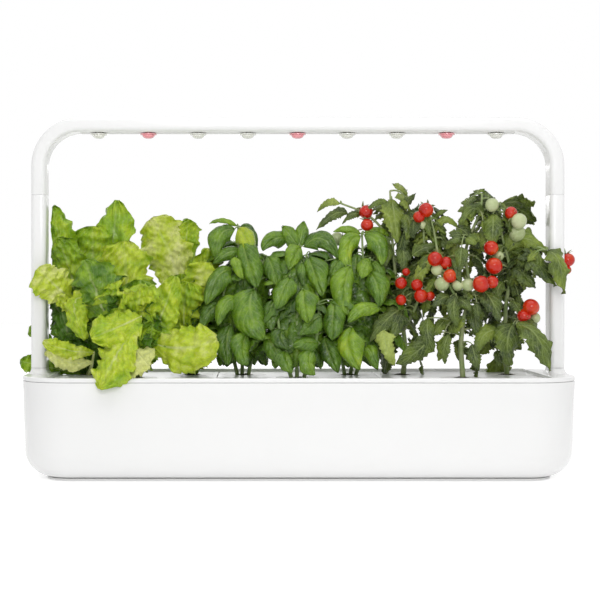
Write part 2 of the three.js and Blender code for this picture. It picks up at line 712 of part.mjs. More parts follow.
// Power socket, driver board and the leads up to the LED board
function addElectrics() {
  const roomHalfLength = dryBoxHalfLength - dryBoxWall - fitGap;
  const roomBottom = dryBoxBottom + dryBoxWall + fitGap;
  const roomTop = dryBoxTop - dryBoxWall - fitGap;
  const boreHeight = (roomBottom + roomTop) / 2;
  const lying = (radius, from, to) => {
    const rod = new THREE.CylinderGeometry(radius, radius, to - from, smallSides);
    rod.translate(inletPlace, (from + to) / 2, boreHeight);
    return solidOf(rod);
  };
  const inletBody = block(inletPlace - roomHalfLength, inletPlace + roomHalfLength,
    inletFace - inletBodyDepth, inletFace, roomBottom, roomTop);
  const bore = lying(inletBoreRadius, inletFace - inletBoreDepth, inletFace + overrun);
  const pin = lying(inletPinRadius, inletFace - inletBoreDepth - overrun / 2,
    inletFace - inletPinRadius);
  addPiece('dc_inlet', geometryOf(without(inletBody, [bore]).add(pin)), 'darkPlastic');

  const boardFront = dryBoxFront + dryBoxWall + fitGap;
  const board = block(inletPlace - roomHalfLength, inletPlace + roomHalfLength, boardFront,
    boardFront + driverBoardDepth, driverBoardBottom, driverBoardTop);
  const chip = block(inletPlace, inletPlace + chipSize, leadStart - chipSize / 2,
    leadStart + chipSize / 2, driverBoardBottom + boardThickness / 2,
    driverBoardTop + chipThickness);
  const capacitor = postAt(inletPlace - capacitorRadius * 2, leadStart,
    driverBoardBottom - capacitorHeight + boardThickness / 2,
    driverBoardBottom + boardThickness / 2, capacitorRadius, smallSides);
  addPiece('driver_board', geometryOf(united([board, chip, capacitor])), 'circuit');

  const boxSide = inletPlace - dryBoxHalfLength;
  const contactHole = boreHalfDepth + fitGap;
  const contactHeightMiddle = (contactTop + contactBottom) / 2;
  addPiece('base_lead', facingOut(rodAlong([
    new THREE.Vector3(boxSide + leadStandOff, leadStart, leadHeight),
    new THREE.Vector3(boxSide - leadRadius * 2, leadStart, leadHeight),
    new THREE.Vector3((boxSide - legPlace) / 2, leadStart - leadStandOff * 2,
      (leadHeight + contactHeightMiddle) / 2),
    new THREE.Vector3(-legPlace, contactHole + leadStandOff * 2, contactHeightMiddle),
    new THREE.Vector3(-legPlace, contactHole - fitGap * 2 + seamGap, contactHeightMiddle),
  ], leadRadius, leadSides)), 'darkPlastic');
  const armLeadBottom = armBottom + plugGrip + fitGap;
  const armLeadTop = lampBottom - plugDepth - fitGap;
  addPiece('arm_lead', facingOut(revolved([[0, armLeadBottom], [leadRadius, armLeadBottom],
    [leadRadius, armLeadTop], [0, armLeadTop]], leadSides, -legPlace)), 'darkPlastic');
  const lampLeadBottom = lampBottom + plugGrip + fitGap;
  const bendBottom = archBeamHeight - bendCentreRadius;
  const bendPoints = Array.from({ length: filletSteps }, (_, step) => {
    const turn = (step + 1) / (filletSteps + 1) * quarterTurn;
    return new THREE.Vector3(-beamHalfLength - bendCentreRadius * Math.cos(turn), 0,
      bendBottom + bendCentreRadius * Math.sin(turn));
  });
  addPiece('lamp_lead', facingOut(rodAlong([
    new THREE.Vector3(-legPlace, 0, lampLeadBottom),
    ...bendPoints,
    new THREE.Vector3(-beamHalfLength, 0, archBeamHeight),
    new THREE.Vector3(-beamHalfLength + boardEndMargin * 2, 0,
      ledBoardTop + fitGap + leadRadius),
  ], leadRadius, leadSides)), 'darkPlastic');
}

// Each plant grows inside a room of its own: planes halfway to its neighbours, the walls of the
// tank and the legs, and slopes that lean out over the rim. Low leaves stay clear of its ledge.
function growingRoom(pod) {
  const { x, y } = podPlaces[pod];
  const planes = podPlaces.filter((other) => other.x !== x || other.y !== y).map((other) => {
    const away = new THREE.Vector2(other.x - x, other.y - y);
    const reach = away.length() / 2 - growGap;
    away.normalize();
    return { alongX: away.x, alongY: away.y, reach: () => reach };
  });
  const edge = (from, start) => (height) => from + Math.max(height - rimTop - start, 0);
  const ledgeInset = skirtThickness + ledgeWidth + growGap;
  [-1, 1].forEach((side) => {
    planes.push({
      alongX: side,
      alongY: 0,
      reach: (height) => Math.min(legInnerPlace - growGap,
        edge(openingHalfLength - ledgeInset, lowLeafHeight)(height)) - side * x,
    });
    planes.push({
      alongX: 0,
      alongY: side,
      reach: (height) => Math.min(bodyHalfDepth - growGap,
        edge(openingHalfDepth - growGap, 0)(height)) - side * y,
    });
  });
  return { x, y, planes };
}

// Draws a point in towards the stem so that it stays inside the room however far it reaches
function intoRoom(point, room, margin = 0) {
  const height = Math.max(point.z, trayTop + growGap + margin);
  const away = new THREE.Vector2(point.x - room.x, point.y - room.y);
  const distance = away.length();
  if (distance < stemTipRadius) return point.clone().setZ(height);
  away.normalize();
  const reach = room.planes.reduce((least, plane) => {
    const facing = plane.alongX * away.x + plane.alongY * away.y;
    return facing > 0 ? Math.min(least, (plane.reach(height) - margin) / facing) : least;
  }, bodyDepth);
  const drawn = distance / (1 + (distance / reach) ** roomSharpness) ** (1 / roomSharpness);
  return new THREE.Vector3(room.x + away.x * drawn, room.y + away.y * drawn, height);
}

// A leaf is a run of thin folded sections along a midrib that droops as it goes
function leafSolid(leaf, room) {
  const across = new THREE.Vector3(-Math.sin(leaf.turn), Math.cos(leaf.turn), 0);
  const along = new THREE.Vector3();
  const point = leaf.root.clone();
  const rings = [];
  for (let step = 0; step <= leaf.steps; step += 1) {
    const share = step / leaf.steps;
    const slope = leaf.rise - leaf.droop * share;
    along.set(Math.cos(leaf.turn) * Math.cos(slope), Math.sin(leaf.turn) * Math.cos(slope),
      Math.sin(slope));
    if (step > 0) point.addScaledVector(along, leaf.length / leaf.steps);
    const up = new THREE.Vector3().crossVectors(along, across);
    const bladeShare = (share - leaf.stalkShare) / (1 - leaf.stalkShare);
    const notch = step % 2 === 0 ? leaf.lobeShare : 1;
    const blade = bladeShare > 0 ? Math.sin(Math.PI * bladeShare ** leafBulgeShare) * notch : 0;
    const half = Math.max(leaf.width / 2 * blade, step === leaf.steps ? leafTipHalfWidth
      : leafStalkHalfWidth);
    const lift = leaf.fold * half + (blade > 0 ? leaf.ruffle * (step % 2 === 0 ? 1 : -1) : 0);
    const thick = leafThickness / 2 * (1 + (1 - share) / 2);
    const midrib = intoRoom(point, room, leafThickness);
    const edges = [half, -half].map((reach) => intoRoom(
      point.clone().addScaledVector(across, reach).addScaledVector(up, lift), room));
    rings.push([edges[0], midrib.clone().addScaledVector(up, thick),
      edges[1], midrib.clone().addScaledVector(up, -thick)]);
  }
  return solidOf(loft(rings, true));
}

function stemSolid(points, startRadius, endRadius) {
  const rings = points.map((point, step) => {
    const radius = startRadius + (endRadius - startRadius) * step / (points.length - 1);
    return Array.from({ length: leadSides }, (_, side) => {
      const angle = side / leadSides * quarterTurn * 4;
      return new THREE.Vector3(point.x + radius * Math.cos(angle),
        point.y + radius * Math.sin(angle), point.z);
    });
  });
  return solidOf(loft(rings));
}

const plugTop = trayTop - podFlangeThickness - fitGap;
const growthHeight = archUnderside - trayTop;

function soilPlug({ x, y }) {
  const plugBottom = trayTop - podDepth + podWall + fitGap;
  return solidOf(revolved([
    [0, plugBottom], [podBottomRadius - podWall - slideGap, plugBottom],
    [podTopRadius - podWall - slideGap, plugTop], [0, plugTop]], podSides, x, y));
}

// Lettuce: three tiers of broad ruffled leaves round a short crown
function lettuceSolids(pod) {
  const room = growingRoom(pod);
  const reach = growthHeight * lettuceGrowthShare;
  const tiers = [
    { count: 3, rise: 0.62, droop: 0.8, lengthShare: 0.52, widthShare: 1 },
    { count: 3, rise: 1.1, droop: 0.7, lengthShare: 0.8, widthShare: 1.1 },
    { count: 3, rise: 1.42, droop: 0.2, lengthShare: 1.02, widthShare: 0.9 },
  ];
  const leafCount = tiers.reduce((sum, tier) => sum + tier.count, 0);
  const uneven = { rise: 0.06, lengthShare: 0.07 };
  const crown = stemSolid([new THREE.Vector3(room.x, room.y, plugTop - overrun),
    new THREE.Vector3(room.x, room.y, trayTop + crownRadius * 2)], crownRadius, crownRadius / 2);
  let grown = 0;
  const leaves = tiers.flatMap((tier) => Array.from({ length: tier.count }, () => {
    grown += 1;
    return leafSolid({
      root: new THREE.Vector3(room.x, room.y, trayTop + crownRadius * (1 + grown / leafCount)),
      turn: goldenTurn * (grown + pod * 2),
      rise: tier.rise + uneven.rise * Math.sin(grown * 3 + pod),
      droop: tier.droop,
      length: reach * tier.lengthShare
        * (1 - uneven.lengthShare * Math.abs(Math.sin(grown + pod))),
      width: lettuceLeafWidth * tier.widthShare,
      steps: broadLeafSteps,
      stalkShare: 0.12,
      lobeShare: 0.9,
      fold: 0.28,
      ruffle: lettuceRuffle,
    }, room);
  }));
  return [soilPlug(room), crown, ...leaves];
}

// Basil: three leaning stems with crossed pairs of cupped leaves that hang from each joint
function basilSolids(pod) {
  const room = growingRoom(pod);
  const reach = growthHeight * basilGrowthShare;
  const stems = [
    { turn: 1.2, leanShare: 0.04, heightShare: 0.97, levelShares: [0.36, 0.68, 1] },
    { turn: 3.9, leanShare: 0.2, heightShare: 0.8, levelShares: [0.34, 1] },
    { turn: 5.6, leanShare: 0.2, heightShare: 0.68, levelShares: [1] },
  ];
  const topLeaf = { sizeShare: 0.8, rise: 0.7, droop: 1.6 };
  const sideLeaf = { sizeShare: 1.05, lessByLevelShare: 0.12, rise: 0.4, droop: 2.5 };
  const highestRootShare = 0.97;
  const solids = [soilPlug(room)];
  stems.forEach((stem, place) => {
    const turn = stem.turn + pod;
    const at = (share) => {
      const lean = basilStemPlace + reach * stem.leanShare * share;
      return intoRoom(new THREE.Vector3(room.x + Math.cos(turn) * lean,
        room.y + Math.sin(turn) * lean, trayTop + reach * stem.heightShare * share),
      room, stemRadius * 2);
    };
    solids.push(stemSolid([at(0).setZ(plugTop - overrun), at(0).setZ(trayTop + overrun), at(0.5),
      at(1)], stemRadius, stemTipRadius));
    stem.levelShares.forEach((share, level) => {
      const { rise, droop } = share === 1 ? topLeaf : sideLeaf;
      const size = share === 1 ? topLeaf.sizeShare
        : sideLeaf.sizeShare - sideLeaf.lessByLevelShare * level;
      [0, 2].forEach((quarter) => {
        solids.push(leafSolid({
          root: at(Math.min(share, highestRootShare)),
          turn: turn + (quarter + level + place / 2) * quarterTurn,
          rise,
          droop,
          length: basilLeafLength * size,
          width: basilLeafWidth * size,
          steps: smallLeafSteps,
          stalkShare: 0.16,
          lobeShare: 1,
          fold: -0.3,
          ruffle: 0,
        }, room));
      });
    });
  });
  return solids;
}

// Tomato: one stem with drooping lobed leaves and two trusses of round fruit
function fruitSolid(centre, room) {
  const fruit = new THREE.SphereGeometry(tomatoFruitRadius, 6, 4);
  const seat = intoRoom(centre, room, tomatoFruitRadius);
  fruit.translate(seat.x, seat.y, seat.z);
  return solidOf(fruit);
}

function trussSolids(root, turn, room) {
  const aim = new THREE.Vector3(Math.cos(turn), Math.sin(turn), 0);
  const stalk = Array.from({ length: 4 }, (_, step) => root.clone()
    .addScaledVector(aim, trussStep * step)
    .setZ(root.z - tomatoFruitRadius * trussSagShare * step * (step - 1)));
  const seated = stalk.map((point) => intoRoom(point, room, tomatoFruitRadius));
  const across = new THREE.Vector3(-aim.y, aim.x, 0);
  const fruitShares = [[2, 0.75], [3, -0.4]];
  const fruits = fruitShares.map(([joint, sideShare]) => fruitSolid(
    seated[joint].clone().addScaledVector(across, tomatoFruitRadius * sideShare)
      .setZ(seated[joint].z - tomatoFruitRadius * fruitHangShare), room));
  const stalkSolids = seated.slice(1).map((point, step) => solidOf(loft([seated[step], point].map(
    (end) => Array.from({ length: 4 }, (_, side) => end.clone()
      .addScaledVector(across, trussRadius * Math.cos(side * quarterTurn))
      .setZ(end.z + trussRadius * Math.sin(side * quarterTurn)))))));
  return [...stalkSolids, ...fruits];
}

function tomatoSolids(pod) {
  const room = growingRoom(pod);
  const reach = growthHeight * tomatoGrowthShare;
  const wander = { alongX: 5, alongY: 4 };
  const at = (share) => new THREE.Vector3(
    room.x + tomatoStemWander * Math.sin(share * wander.alongX + pod),
    room.y + tomatoStemWander * Math.cos(share * wander.alongY + pod), trayTop + reach * share);
  const stemShares = [0.25, 0.5, 0.75, 0.96];
  const stem = stemSolid([at(0).setZ(plugTop - overrun), at(0).setZ(trayTop + overrun),
    ...stemShares.map(at)], stemRadius, stemTipRadius);
  const leafShares = [0.15, 0.27, 0.39, 0.51, 0.63, 0.75, 0.86, 0.95];
  const low = { rise: 0.4, droop: 2.5 };
  const top = { rise: 0.9, droop: 1.7 };
  const sizeShare = (leaf) => (leaf === leafShares.length - 1 ? tomatoTopLeafShare : 1);
  const leaves = leafShares.map((share, leaf) => leafSolid({
    root: at(share),
    turn: goldenTurn * (leaf + pod * 3),
    rise: low.rise + (top.rise - low.rise) * share,
    droop: low.droop + (top.droop - low.droop) * share,
    length: tomatoLeafLength * sizeShare(leaf),
    width: tomatoLeafWidth * sizeShare(leaf),
    steps: smallLeafSteps,
    stalkShare: 0.14,
    lobeShare: 0.62,
    fold: -0.2,
    ruffle: 0,
  }, room));
  const trusses = [{ share: 0.56, turn: 4.3 }, { share: 0.84, turn: 5.6 }];
  const turnByPod = 0.7;
  return [soilPlug(room), stem, ...leaves, ...trusses.flatMap(({ share, turn }) => (
    trussSolids(at(share), turn + turnByPod * pod, room)))];
}

function addPlants() {
  const kinds = [['lettuce', lettuceSolids], ['basil', basilSolids], ['tomato', tomatoSolids]];
  podPlaces.forEach(({ tray }, pod) => {
    const [kind, grow] = kinds[tray];
    addPiece(`${kind}_${pod % podsPerTray + 1}`,
      withoutHollows(geometryOf(united(grow(pod)))), kind);
  });
}

addTub();
addPlinthAndFeet();
addRimFrame();
addSocketContacts();
addTrays();
addPodCups();
addFloat();
addArmsAndPlugs();
addLampArch();
addLamp();
addElectrics();
addPlants();

export default garden;
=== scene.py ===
"""Looks of the countertop hydroponic garden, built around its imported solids. Metres, Z up."""

import json
import math

import bpy
import numpy as np
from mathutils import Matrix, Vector


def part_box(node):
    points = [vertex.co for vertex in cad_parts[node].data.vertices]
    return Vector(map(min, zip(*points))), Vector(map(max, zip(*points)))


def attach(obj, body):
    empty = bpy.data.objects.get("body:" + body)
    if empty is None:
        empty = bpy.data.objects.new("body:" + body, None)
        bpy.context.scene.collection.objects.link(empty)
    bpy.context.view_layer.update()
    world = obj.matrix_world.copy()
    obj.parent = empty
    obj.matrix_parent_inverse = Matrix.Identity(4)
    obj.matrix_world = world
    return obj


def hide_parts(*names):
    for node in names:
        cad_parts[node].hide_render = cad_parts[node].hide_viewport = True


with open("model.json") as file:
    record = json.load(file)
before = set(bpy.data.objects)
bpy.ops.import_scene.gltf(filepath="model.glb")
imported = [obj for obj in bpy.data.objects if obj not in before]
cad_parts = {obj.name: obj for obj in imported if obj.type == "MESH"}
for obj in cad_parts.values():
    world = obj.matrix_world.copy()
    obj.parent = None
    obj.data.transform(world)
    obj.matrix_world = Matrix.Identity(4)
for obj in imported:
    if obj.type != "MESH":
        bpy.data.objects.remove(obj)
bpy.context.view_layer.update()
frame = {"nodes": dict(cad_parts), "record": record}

# Camera, fitted to the photograph's perspective
IMAGE_SIZE = 600
FOCAL_PIXELS = 1335
CENTRE_PIXEL = (253.9, 288.7)
CAMERA_PLACE = (-0.049, -1.5, 0.2071)
SENSOR_WIDTH = 36
CAMERA_CLIPPING = (0.05, 50)

# Clearances and sizes that the moulded parts share
SEAM_GAP = 0.0004
FIT_GAP = 0.0003
OVERRUN = 0.002
EDGE_ROUND = 0.0006
SEAM_ROUND = 0.0002
SEAM_DROP = 0.00025

# Tank
BODY_CORNER_RADIUS = 0.055
TUB_WALL = 0.0025
TUB_BOTTOM_RADIUS = 0.030
TUB_DRAFT_SHARE = 0.032
NOTCH_GAP = 0.0005

# Rim frame
RIM_EDGE_ROUND = 0.0014
RIM_SIDE_WIDTH = 0.010
RIM_END_WIDTH = 0.0315
OPENING_RADIUS = 0.006
SKIRT_THICKNESS = 0.0022
SKIRT_DEPTH = 0.0097
LEDGE_WIDTH = 0.003
LEDGE_THICKNESS = 0.0018
CROSSBAR_HALF = 0.0025
BOSS_FLARE = 0.0082
SOCKET_WALL = 0.0022
DRY_BOX_HALF_LENGTH = 0.0165
DRY_BOX_WALL = 0.0018
DRY_BOX_HEIGHT = 0.0215
DRY_BOX_FRONT_TO_FACE = 0.0324
DRY_BOX_FACE_INSET = 0.0011
INLET_FROM_OPENING_END = 0.040

# Trays and pods
TRAY_RECESS = 0.0034
TRAY_THICKNESS = 0.0027
SLEEVE_WALL = 0.0014
SLEEVE_DEPTH = 0.038
WELL_GAP = 0.0005
POD_TOP_RADIUS = 0.0215
POD_BOTTOM_RADIUS = 0.018
POD_DEPTH = 0.043
POD_WALL = 0.0012
POD_LID_HOLE = 0.011
POD_BOTTOM_HOLE = 0.014
POD_FLANGE_RADIUS = 0.0235
POD_FLANGE_THICKNESS = 0.0012

# Filling port and float
GUIDE_RADIUS = 0.0125
GUIDE_WALL = 0.002
GUIDE_FLANGE_RADIUS = 0.0145
GUIDE_FLANGE_THICKNESS = 0.0012
GUIDE_LIP_WIDTH = 0.0035
GUIDE_LIP_THICKNESS = 0.0015
FLOAT_ROD_RADIUS = 0.0025
FLOAT_CLEARANCE = 0.0015
FLOAT_HEIGHT = 0.014
INDICATOR_RADIUS = 0.006
CAP_SHOULDER_SHARE = 0.85
CAP_TOP_SHARE = 0.4

# Legs, arms, arch and lamp
LEG_HALF_WIDTH = 0.0083
LEG_HALF_DEPTH = 0.015
LEG_CORNER_RADIUS = 0.0055
LEG_WALL = 0.0024
LEG_BORE_RADIUS = 0.002
ARCH_BEND_RADIUS = 0.0545
STRIP_HALF_WIDTH = 0.010
LENS_STEM_RADIUS = 0.0038
LENS_FLANGE_RADIUS = 0.0092
LENS_FLANGE_THICKNESS = 0.0013
LENS_DOME_RADIUS = 0.0070
LENS_DOME_DEPTH = 0.0042
LENS_DOME_BULGE = 0.8

# Counts of steps round curves, and of repeated parts
PODS = range(1, 10)
PODS_PER_TRAY = 3
KINDS = ("lettuce", "basil", "tomato")
LEDS = range(1, 10)
SIDES = (("left", -1), ("right", 1))
BODY_CORNER_STEPS = 28
SMALL_CORNER_STEPS = 8
BORE_CORNER_STEPS = 3
FILLET_STEPS = 18
ROUND_STEPS = 4
BEND_STEPS = 32
ROUND_SIDES = 64
SMALL_SIDES = 36
SHARP_ANGLE = math.radians(32)
SMALLEST_RADIUS = 0.0002
QUARTER = math.pi / 2

# Middle range of a noise, and depths of surface marks
MID_NOISE = (0.3, 0.7)
MOULD_MARKS = 0.0001
FINE_MARKS = 0.0002
STEM_HAIRS = 0.0003
LEAF_RELIEF = 0.0007
FRUIT_RELIEF = 0.0008
SOIL_RELIEF = 0.0012

# Stage: floor, and how bright floor and world are for rays that see them and for the rest
FLOOR_HALF = 6
FLOOR_SHADE = 0.9
FLOOR_ROUGHNESS = 0.85
FLOOR_GLOW = 0.5
FLOOR_BOUNCE = 0.11
WORLD_LIGHT = 0.5
WORLD_SEEN = 1.0
WHITE = (1, 1, 1, 1)
# Lights: name, place, height of the point over the middle that it faces, size and power
LIGHTS = (
    ("top_softbox", (0.1, -0.35, 1.5), 0.2, (1.6, 1.2), 7.5),
    ("front_softbox", (0.1, -2.0, 0.85), 0.18, (0.7, 0.6), 10.2),
    ("right_softbox", (1.4, -0.8, 0.7), 0.2, (0.9, 0.9), 0.3),
    ("back_softbox", (-0.4, 2.0, 0.9), 0.15, (0.9, 0.8), 6),
)


# Camera and places
def pixel_point(across, down, depth):
    """The place seen at that pixel of the photograph, at that depth along Y."""
    distance = depth - CAMERA_PLACE[1]
    return np.array([
        CAMERA_PLACE[0] + (across - CENTRE_PIXEL[0]) * distance / FOCAL_PIXELS,
        depth,
        CAMERA_PLACE[2] - (down - CENTRE_PIXEL[1]) * distance / FOCAL_PIXELS])


def make_camera():
    data = bpy.data.cameras.new("camera")
    data.sensor_width = SENSOR_WIDTH
    data.lens = SENSOR_WIDTH * FOCAL_PIXELS / IMAGE_SIZE
    middle = IMAGE_SIZE / 2
    data.shift_x = (middle - CENTRE_PIXEL[0]) / IMAGE_SIZE
    data.shift_y = (CENTRE_PIXEL[1] - middle) / IMAGE_SIZE
    data.clip_start, data.clip_end = CAMERA_CLIPPING
    camera = bpy.data.objects.new("camera", data)
    camera.location = CAMERA_PLACE
    camera.rotation_euler = (QUARTER, 0, 0)
    bpy.context.scene.collection.objects.link(camera)
    bpy.context.scene.camera = camera


# Node materials
def add_node(tree, kind, inputs=None, **settings):
    """A node with its settings made and its inputs set to values or linked to sockets."""
    node = tree.nodes.new(kind)
    for name, value in settings.items():
        setattr(node, name, value)
    for name, value in (inputs or {}).items():
        if isinstance(value, bpy.types.NodeSocket):
            tree.links.new(value, node.inputs[name])
        else:
            node.inputs[name].default_value = value
    return node


def level_for_rays(tree, level, seen_level):
    """One level for camera, glossy and transmission rays, and another for all others."""
    rays = add_node(tree, "ShaderNodeLightPath").outputs
    seen = rays["Is Camera Ray"]
    for kind in ("Is Glossy Ray", "Is Transmission Ray"):
        seen = add_node(tree, "ShaderNodeMath", {0: seen, 1: rays[kind]},
                        operation="MAXIMUM").outputs[0]
    return add_node(tree, "ShaderNodeMapRange", {
        "Value": seen, "To Min": level, "To Max": seen_level}).outputs["Result"]


class Finish:
    """A material whose Principled shader is fed by a few procedural nodes."""

    def __init__(self, name, **sockets):
        self.material = bpy.data.materials.new(name)
        self.material.use_nodes = True
        self.tree = self.material.node_tree
        self.shader = self.tree.nodes["Principled BSDF"]
        for socket, value in sockets.items():
            self.shader.inputs[socket.replace("_", " ")].default_value = value

    def node(self, kind, inputs=None, **settings):
        return add_node(self.tree, kind, inputs, **settings)

    def feed(self, socket, value):
        self.tree.links.new(value, self.shader.inputs[socket])

    def surface(self, node):
        self.tree.links.new(node.outputs[0],
                            self.tree.nodes["Material Output"].inputs["Surface"])

    def places(self):
        return self.node("ShaderNodeTexCoord").outputs["Object"]

    def noise(self, scale, detail=3.0, roughness=0.5):
        return self.node("ShaderNodeTexNoise", {
            "Vector": self.places(), "Scale": scale, "Detail": detail,
            "Roughness": roughness}).outputs["Fac"]

    def ramp(self, factor, stops):
        node = self.node("ShaderNodeValToRGB", {"Fac": factor})
        elements = node.color_ramp.elements
        while len(elements) < len(stops):
            elements.new(1)
        for element, (place, colour) in zip(elements, stops):
            element.position = place
            element.color = (*colour, 1)
        return node.outputs["Color"]

    def math(self, operation, first, second=0.0):
        return self.node("ShaderNodeMath", {0: first, 1: second}, operation=operation).outputs[0]

    def span(self, value, low, high, to_low=0.0, to_high=1.0, smooth=True):
        return self.node("ShaderNodeMapRange", {
            "Value": value, "From Min": low, "From Max": high, "To Min": to_low,
            "To Max": to_high}, interpolation_type="SMOOTHSTEP" if smooth else "LINEAR",
        ).outputs["Result"]

    def blend(self, factor, first, second):
        """Blends two colours through the colour sockets of a mix node."""
        second = second if isinstance(second, bpy.types.NodeSocket) else (*second, 1)
        return self.node("ShaderNodeMix", {0: factor, 6: first, 7: second},
                         data_type="RGBA").outputs[2]

    def bump(self, height, strength, distance):
        self.feed("Normal", self.node("ShaderNodeBump", {
            "Height": height, "Strength": strength, "Distance": distance}).outputs["Normal"])


def shaded(colour, share):
    return tuple(part * share for part in colour)


def moulded(name, colour, roughness, grain=1200, grain_strength=0.03, unevenness=0.008, **sockets):
    """Moulded plastic: faint tone and gloss changes over a fine tool-mark grain."""
    finish = Finish(name, **sockets)
    cloud = finish.noise(14, 4)
    dull = shaded(colour, 1 - unevenness)
    finish.feed("Base Color", finish.ramp(cloud, [(0.35, dull), (0.65, colour)]))
    finish.feed("Roughness", finish.span(finish.noise(60, 3), *MID_NOISE, roughness * 0.94,
                                         roughness * 1.06, smooth=False))
    finish.bump(finish.noise(grain, 2), grain_strength, MOULD_MARKS)
    return finish.material


def metal(name, colour, roughness, scale):
    """Plain metal with dull, rougher streaks."""
    finish = Finish(name, Metallic=1.0)
    streak = finish.noise(scale, 5, 0.6)
    finish.feed("Base Color", finish.ramp(streak, [(0.35, shaded(colour, 0.82)),
                                                   (0.62, colour)]))
    finish.feed("Roughness", finish.span(streak, *MID_NOISE, roughness * 0.8, roughness * 1.3))
    finish.bump(finish.noise(scale * 6, 2), 0.15, FINE_MARKS)
    return finish.material


def clear_lens(name, colour, edge_on_shade_colour):
    """A clear moulded lens, with painted shade that darkens its colour where it is seen edge-on."""
    finish = Finish(name, IOR=1.49, Coat_Weight=0.3, Coat_Roughness=0.05)
    # Painted shade: the lens colour darkens where its surface turns edge-on to the view.
    rim = finish.node("ShaderNodeLayerWeight", {"Blend": 0.35}).outputs["Facing"]
    swirl = finish.math("ADD", rim, finish.span(finish.noise(160, 3), *MID_NOISE, -0.06, 0.06))
    finish.feed("Base Color", finish.ramp(swirl, [(0.45, colour), (0.85, edge_on_shade_colour)]))
    finish.feed("Roughness", finish.span(finish.noise(220, 2), *MID_NOISE, 0.07, 0.16))
    finish.bump(finish.noise(500, 2), 0.05, FINE_MARKS)
    return finish.material


WHITE_SHELL = moulded("white_shell", (0.93, 0.93, 0.926), 0.2, Coat_Weight=0.15,
                      Coat_Roughness=0.1)
WHITE_INNER = moulded("white_inner", (0.84, 0.84, 0.83), 0.45)
# The trays' white is painted a little lighter than the shell's, as painted light against the plants'
# shade over them.
TRAY_WHITE = moulded("tray_white", (0.95, 0.95, 0.946), 0.3, Coat_Weight=0.15,
                     Coat_Roughness=0.04)
POD_PLASTIC = moulded("pod_plastic", (0.86, 0.86, 0.84), 0.4)
FOOT_RUBBER = moulded("foot_rubber", (0.035, 0.035, 0.036), 0.8, grain=700, grain_strength=0.3)
FLOAT_PLASTIC = moulded("float_plastic", (0.8, 0.8, 0.77), 0.5, grain=500, grain_strength=0.2)
INDICATOR = moulded("indicator_plastic", (0.83, 0.36, 0.04), 0.4)
LEAD_JACKET = moulded("lead_jacket", (0.03, 0.03, 0.03), 0.5)
INLET_PLASTIC = moulded("inlet_plastic", (0.02, 0.02, 0.02), 0.4)
CIRCUIT = moulded("circuit_board", (0.02, 0.13, 0.045), 0.35, grain=350, grain_strength=0.35,
                  unevenness=0.35)
BRASS = metal("contact_metal", (0.72, 0.53, 0.22), 0.25, 90)
BOARD = metal("led_board_coat", (0.83, 0.84, 0.85), 0.35, 60)
# The clear lens colour is painted lighter to make up for the dim light on the lamp's underside.
LENS_CLEAR = clear_lens("lens_clear", (0.9, 0.9, 0.84), (0.5, 0.52, 0.46))
LENS_RED = clear_lens("lens_red", (0.98, 0.4, 0.44), (0.42, 0.04, 0.07))
FINISH_OF_SLOT = {
    "white_shell": WHITE_SHELL, "white_inner": WHITE_INNER, "pod_plastic": POD_PLASTIC,
    "foot_rubber": FOOT_RUBBER, "float_plastic": FLOAT_PLASTIC, "indicator_plastic": INDICATOR,
    "contact_metal": BRASS, "lens_red": LENS_RED, "lens_clear": LENS_CLEAR, "led_board": BOARD,
    "circuit_board": CIRCUIT, "inlet_plastic": INLET_PLASTIC, "lead_jacket": LEAD_JACKET,
}
SLOT_OF_NODE = {row["node"]: row["material_slot"] for row in frame["record"]["subparts"]}
BODY_OF_NODE = {node: body for body, nodes in frame["record"]["behaviour"]["bodies"].items()
                for node in nodes}


# Mesh helpers
def add_object(name, points, faces, material, sharp_angle=SHARP_ANGLE):
    mesh = bpy.data.meshes.new(name)
    mesh.from_pydata(np.asarray(points, float).tolist(), [], faces)
    mesh.polygons.foreach_set("use_smooth", [True] * len(mesh.polygons))
    mesh.set_sharp_from_angle(angle=sharp_angle)
    mesh.materials.append(material)
    piece = bpy.data.objects.new(name, mesh)
    bpy.context.scene.collection.objects.link(piece)
    return piece


def loft(rings, loop=False):
    """Points and faces of a skin over rings of equal counts, capped by a fan or closed in a loop."""
    sides, count = len(rings[0]), len(rings)
    faces = []
    for ring in range(count if loop else count - 1):
        low = ring * sides
        high = (ring + 1) % count * sides
        faces += [(low + side, low + (side + 1) % sides, high + (side + 1) % sides, high + side)
                  for side in range(sides)]
    points = np.concatenate(rings)
    if not loop:
        hubs = [rings[0].mean(axis=0), rings[-1].mean(axis=0)]
        points = np.concatenate([points, hubs])
        last = (count - 1) * sides
        faces += [(count * sides, (side + 1) % sides, side) for side in range(sides)]
        faces += [(count * sides + 1, last + side, last + (side + 1) % sides)
                  for side in range(sides)]
    return points, faces


def rounded_outline(half_x, half_y, radius, steps, centre=(0, 0)):
    radius = max(min(radius, half_x, half_y), SMALLEST_RADIUS)
    points = []
    for corner, (side_x, side_y) in enumerate(((1, 1), (-1, 1), (-1, -1), (1, -1))):
        for step in range(steps + 1):
            angle = (corner + step / steps) * QUARTER
            points.append((centre[0] + side_x * (half_x - radius) + radius * math.cos(angle),
                           centre[1] + side_y * (half_y - radius) + radius * math.sin(angle)))
    return np.array(points)


def ring_at(outline, height):
    return np.column_stack([outline, np.full(len(outline), height)])


def prism(name, outline, bottom, top, material=WHITE_SHELL):
    return add_object(name, *loft([ring_at(outline, bottom), ring_at(outline, top)]), material)


def block(name, low, high, material=WHITE_SHELL):
    outline = np.array([(high[0], high[1]), (low[0], high[1]), (low[0], low[1]),
                        (high[0], low[1])])
    return prism(name, outline, low[2], high[2], material)


def circle(sides):
    """Angles of a full turn in equal steps."""
    return np.arange(sides) / sides * 2 * math.pi


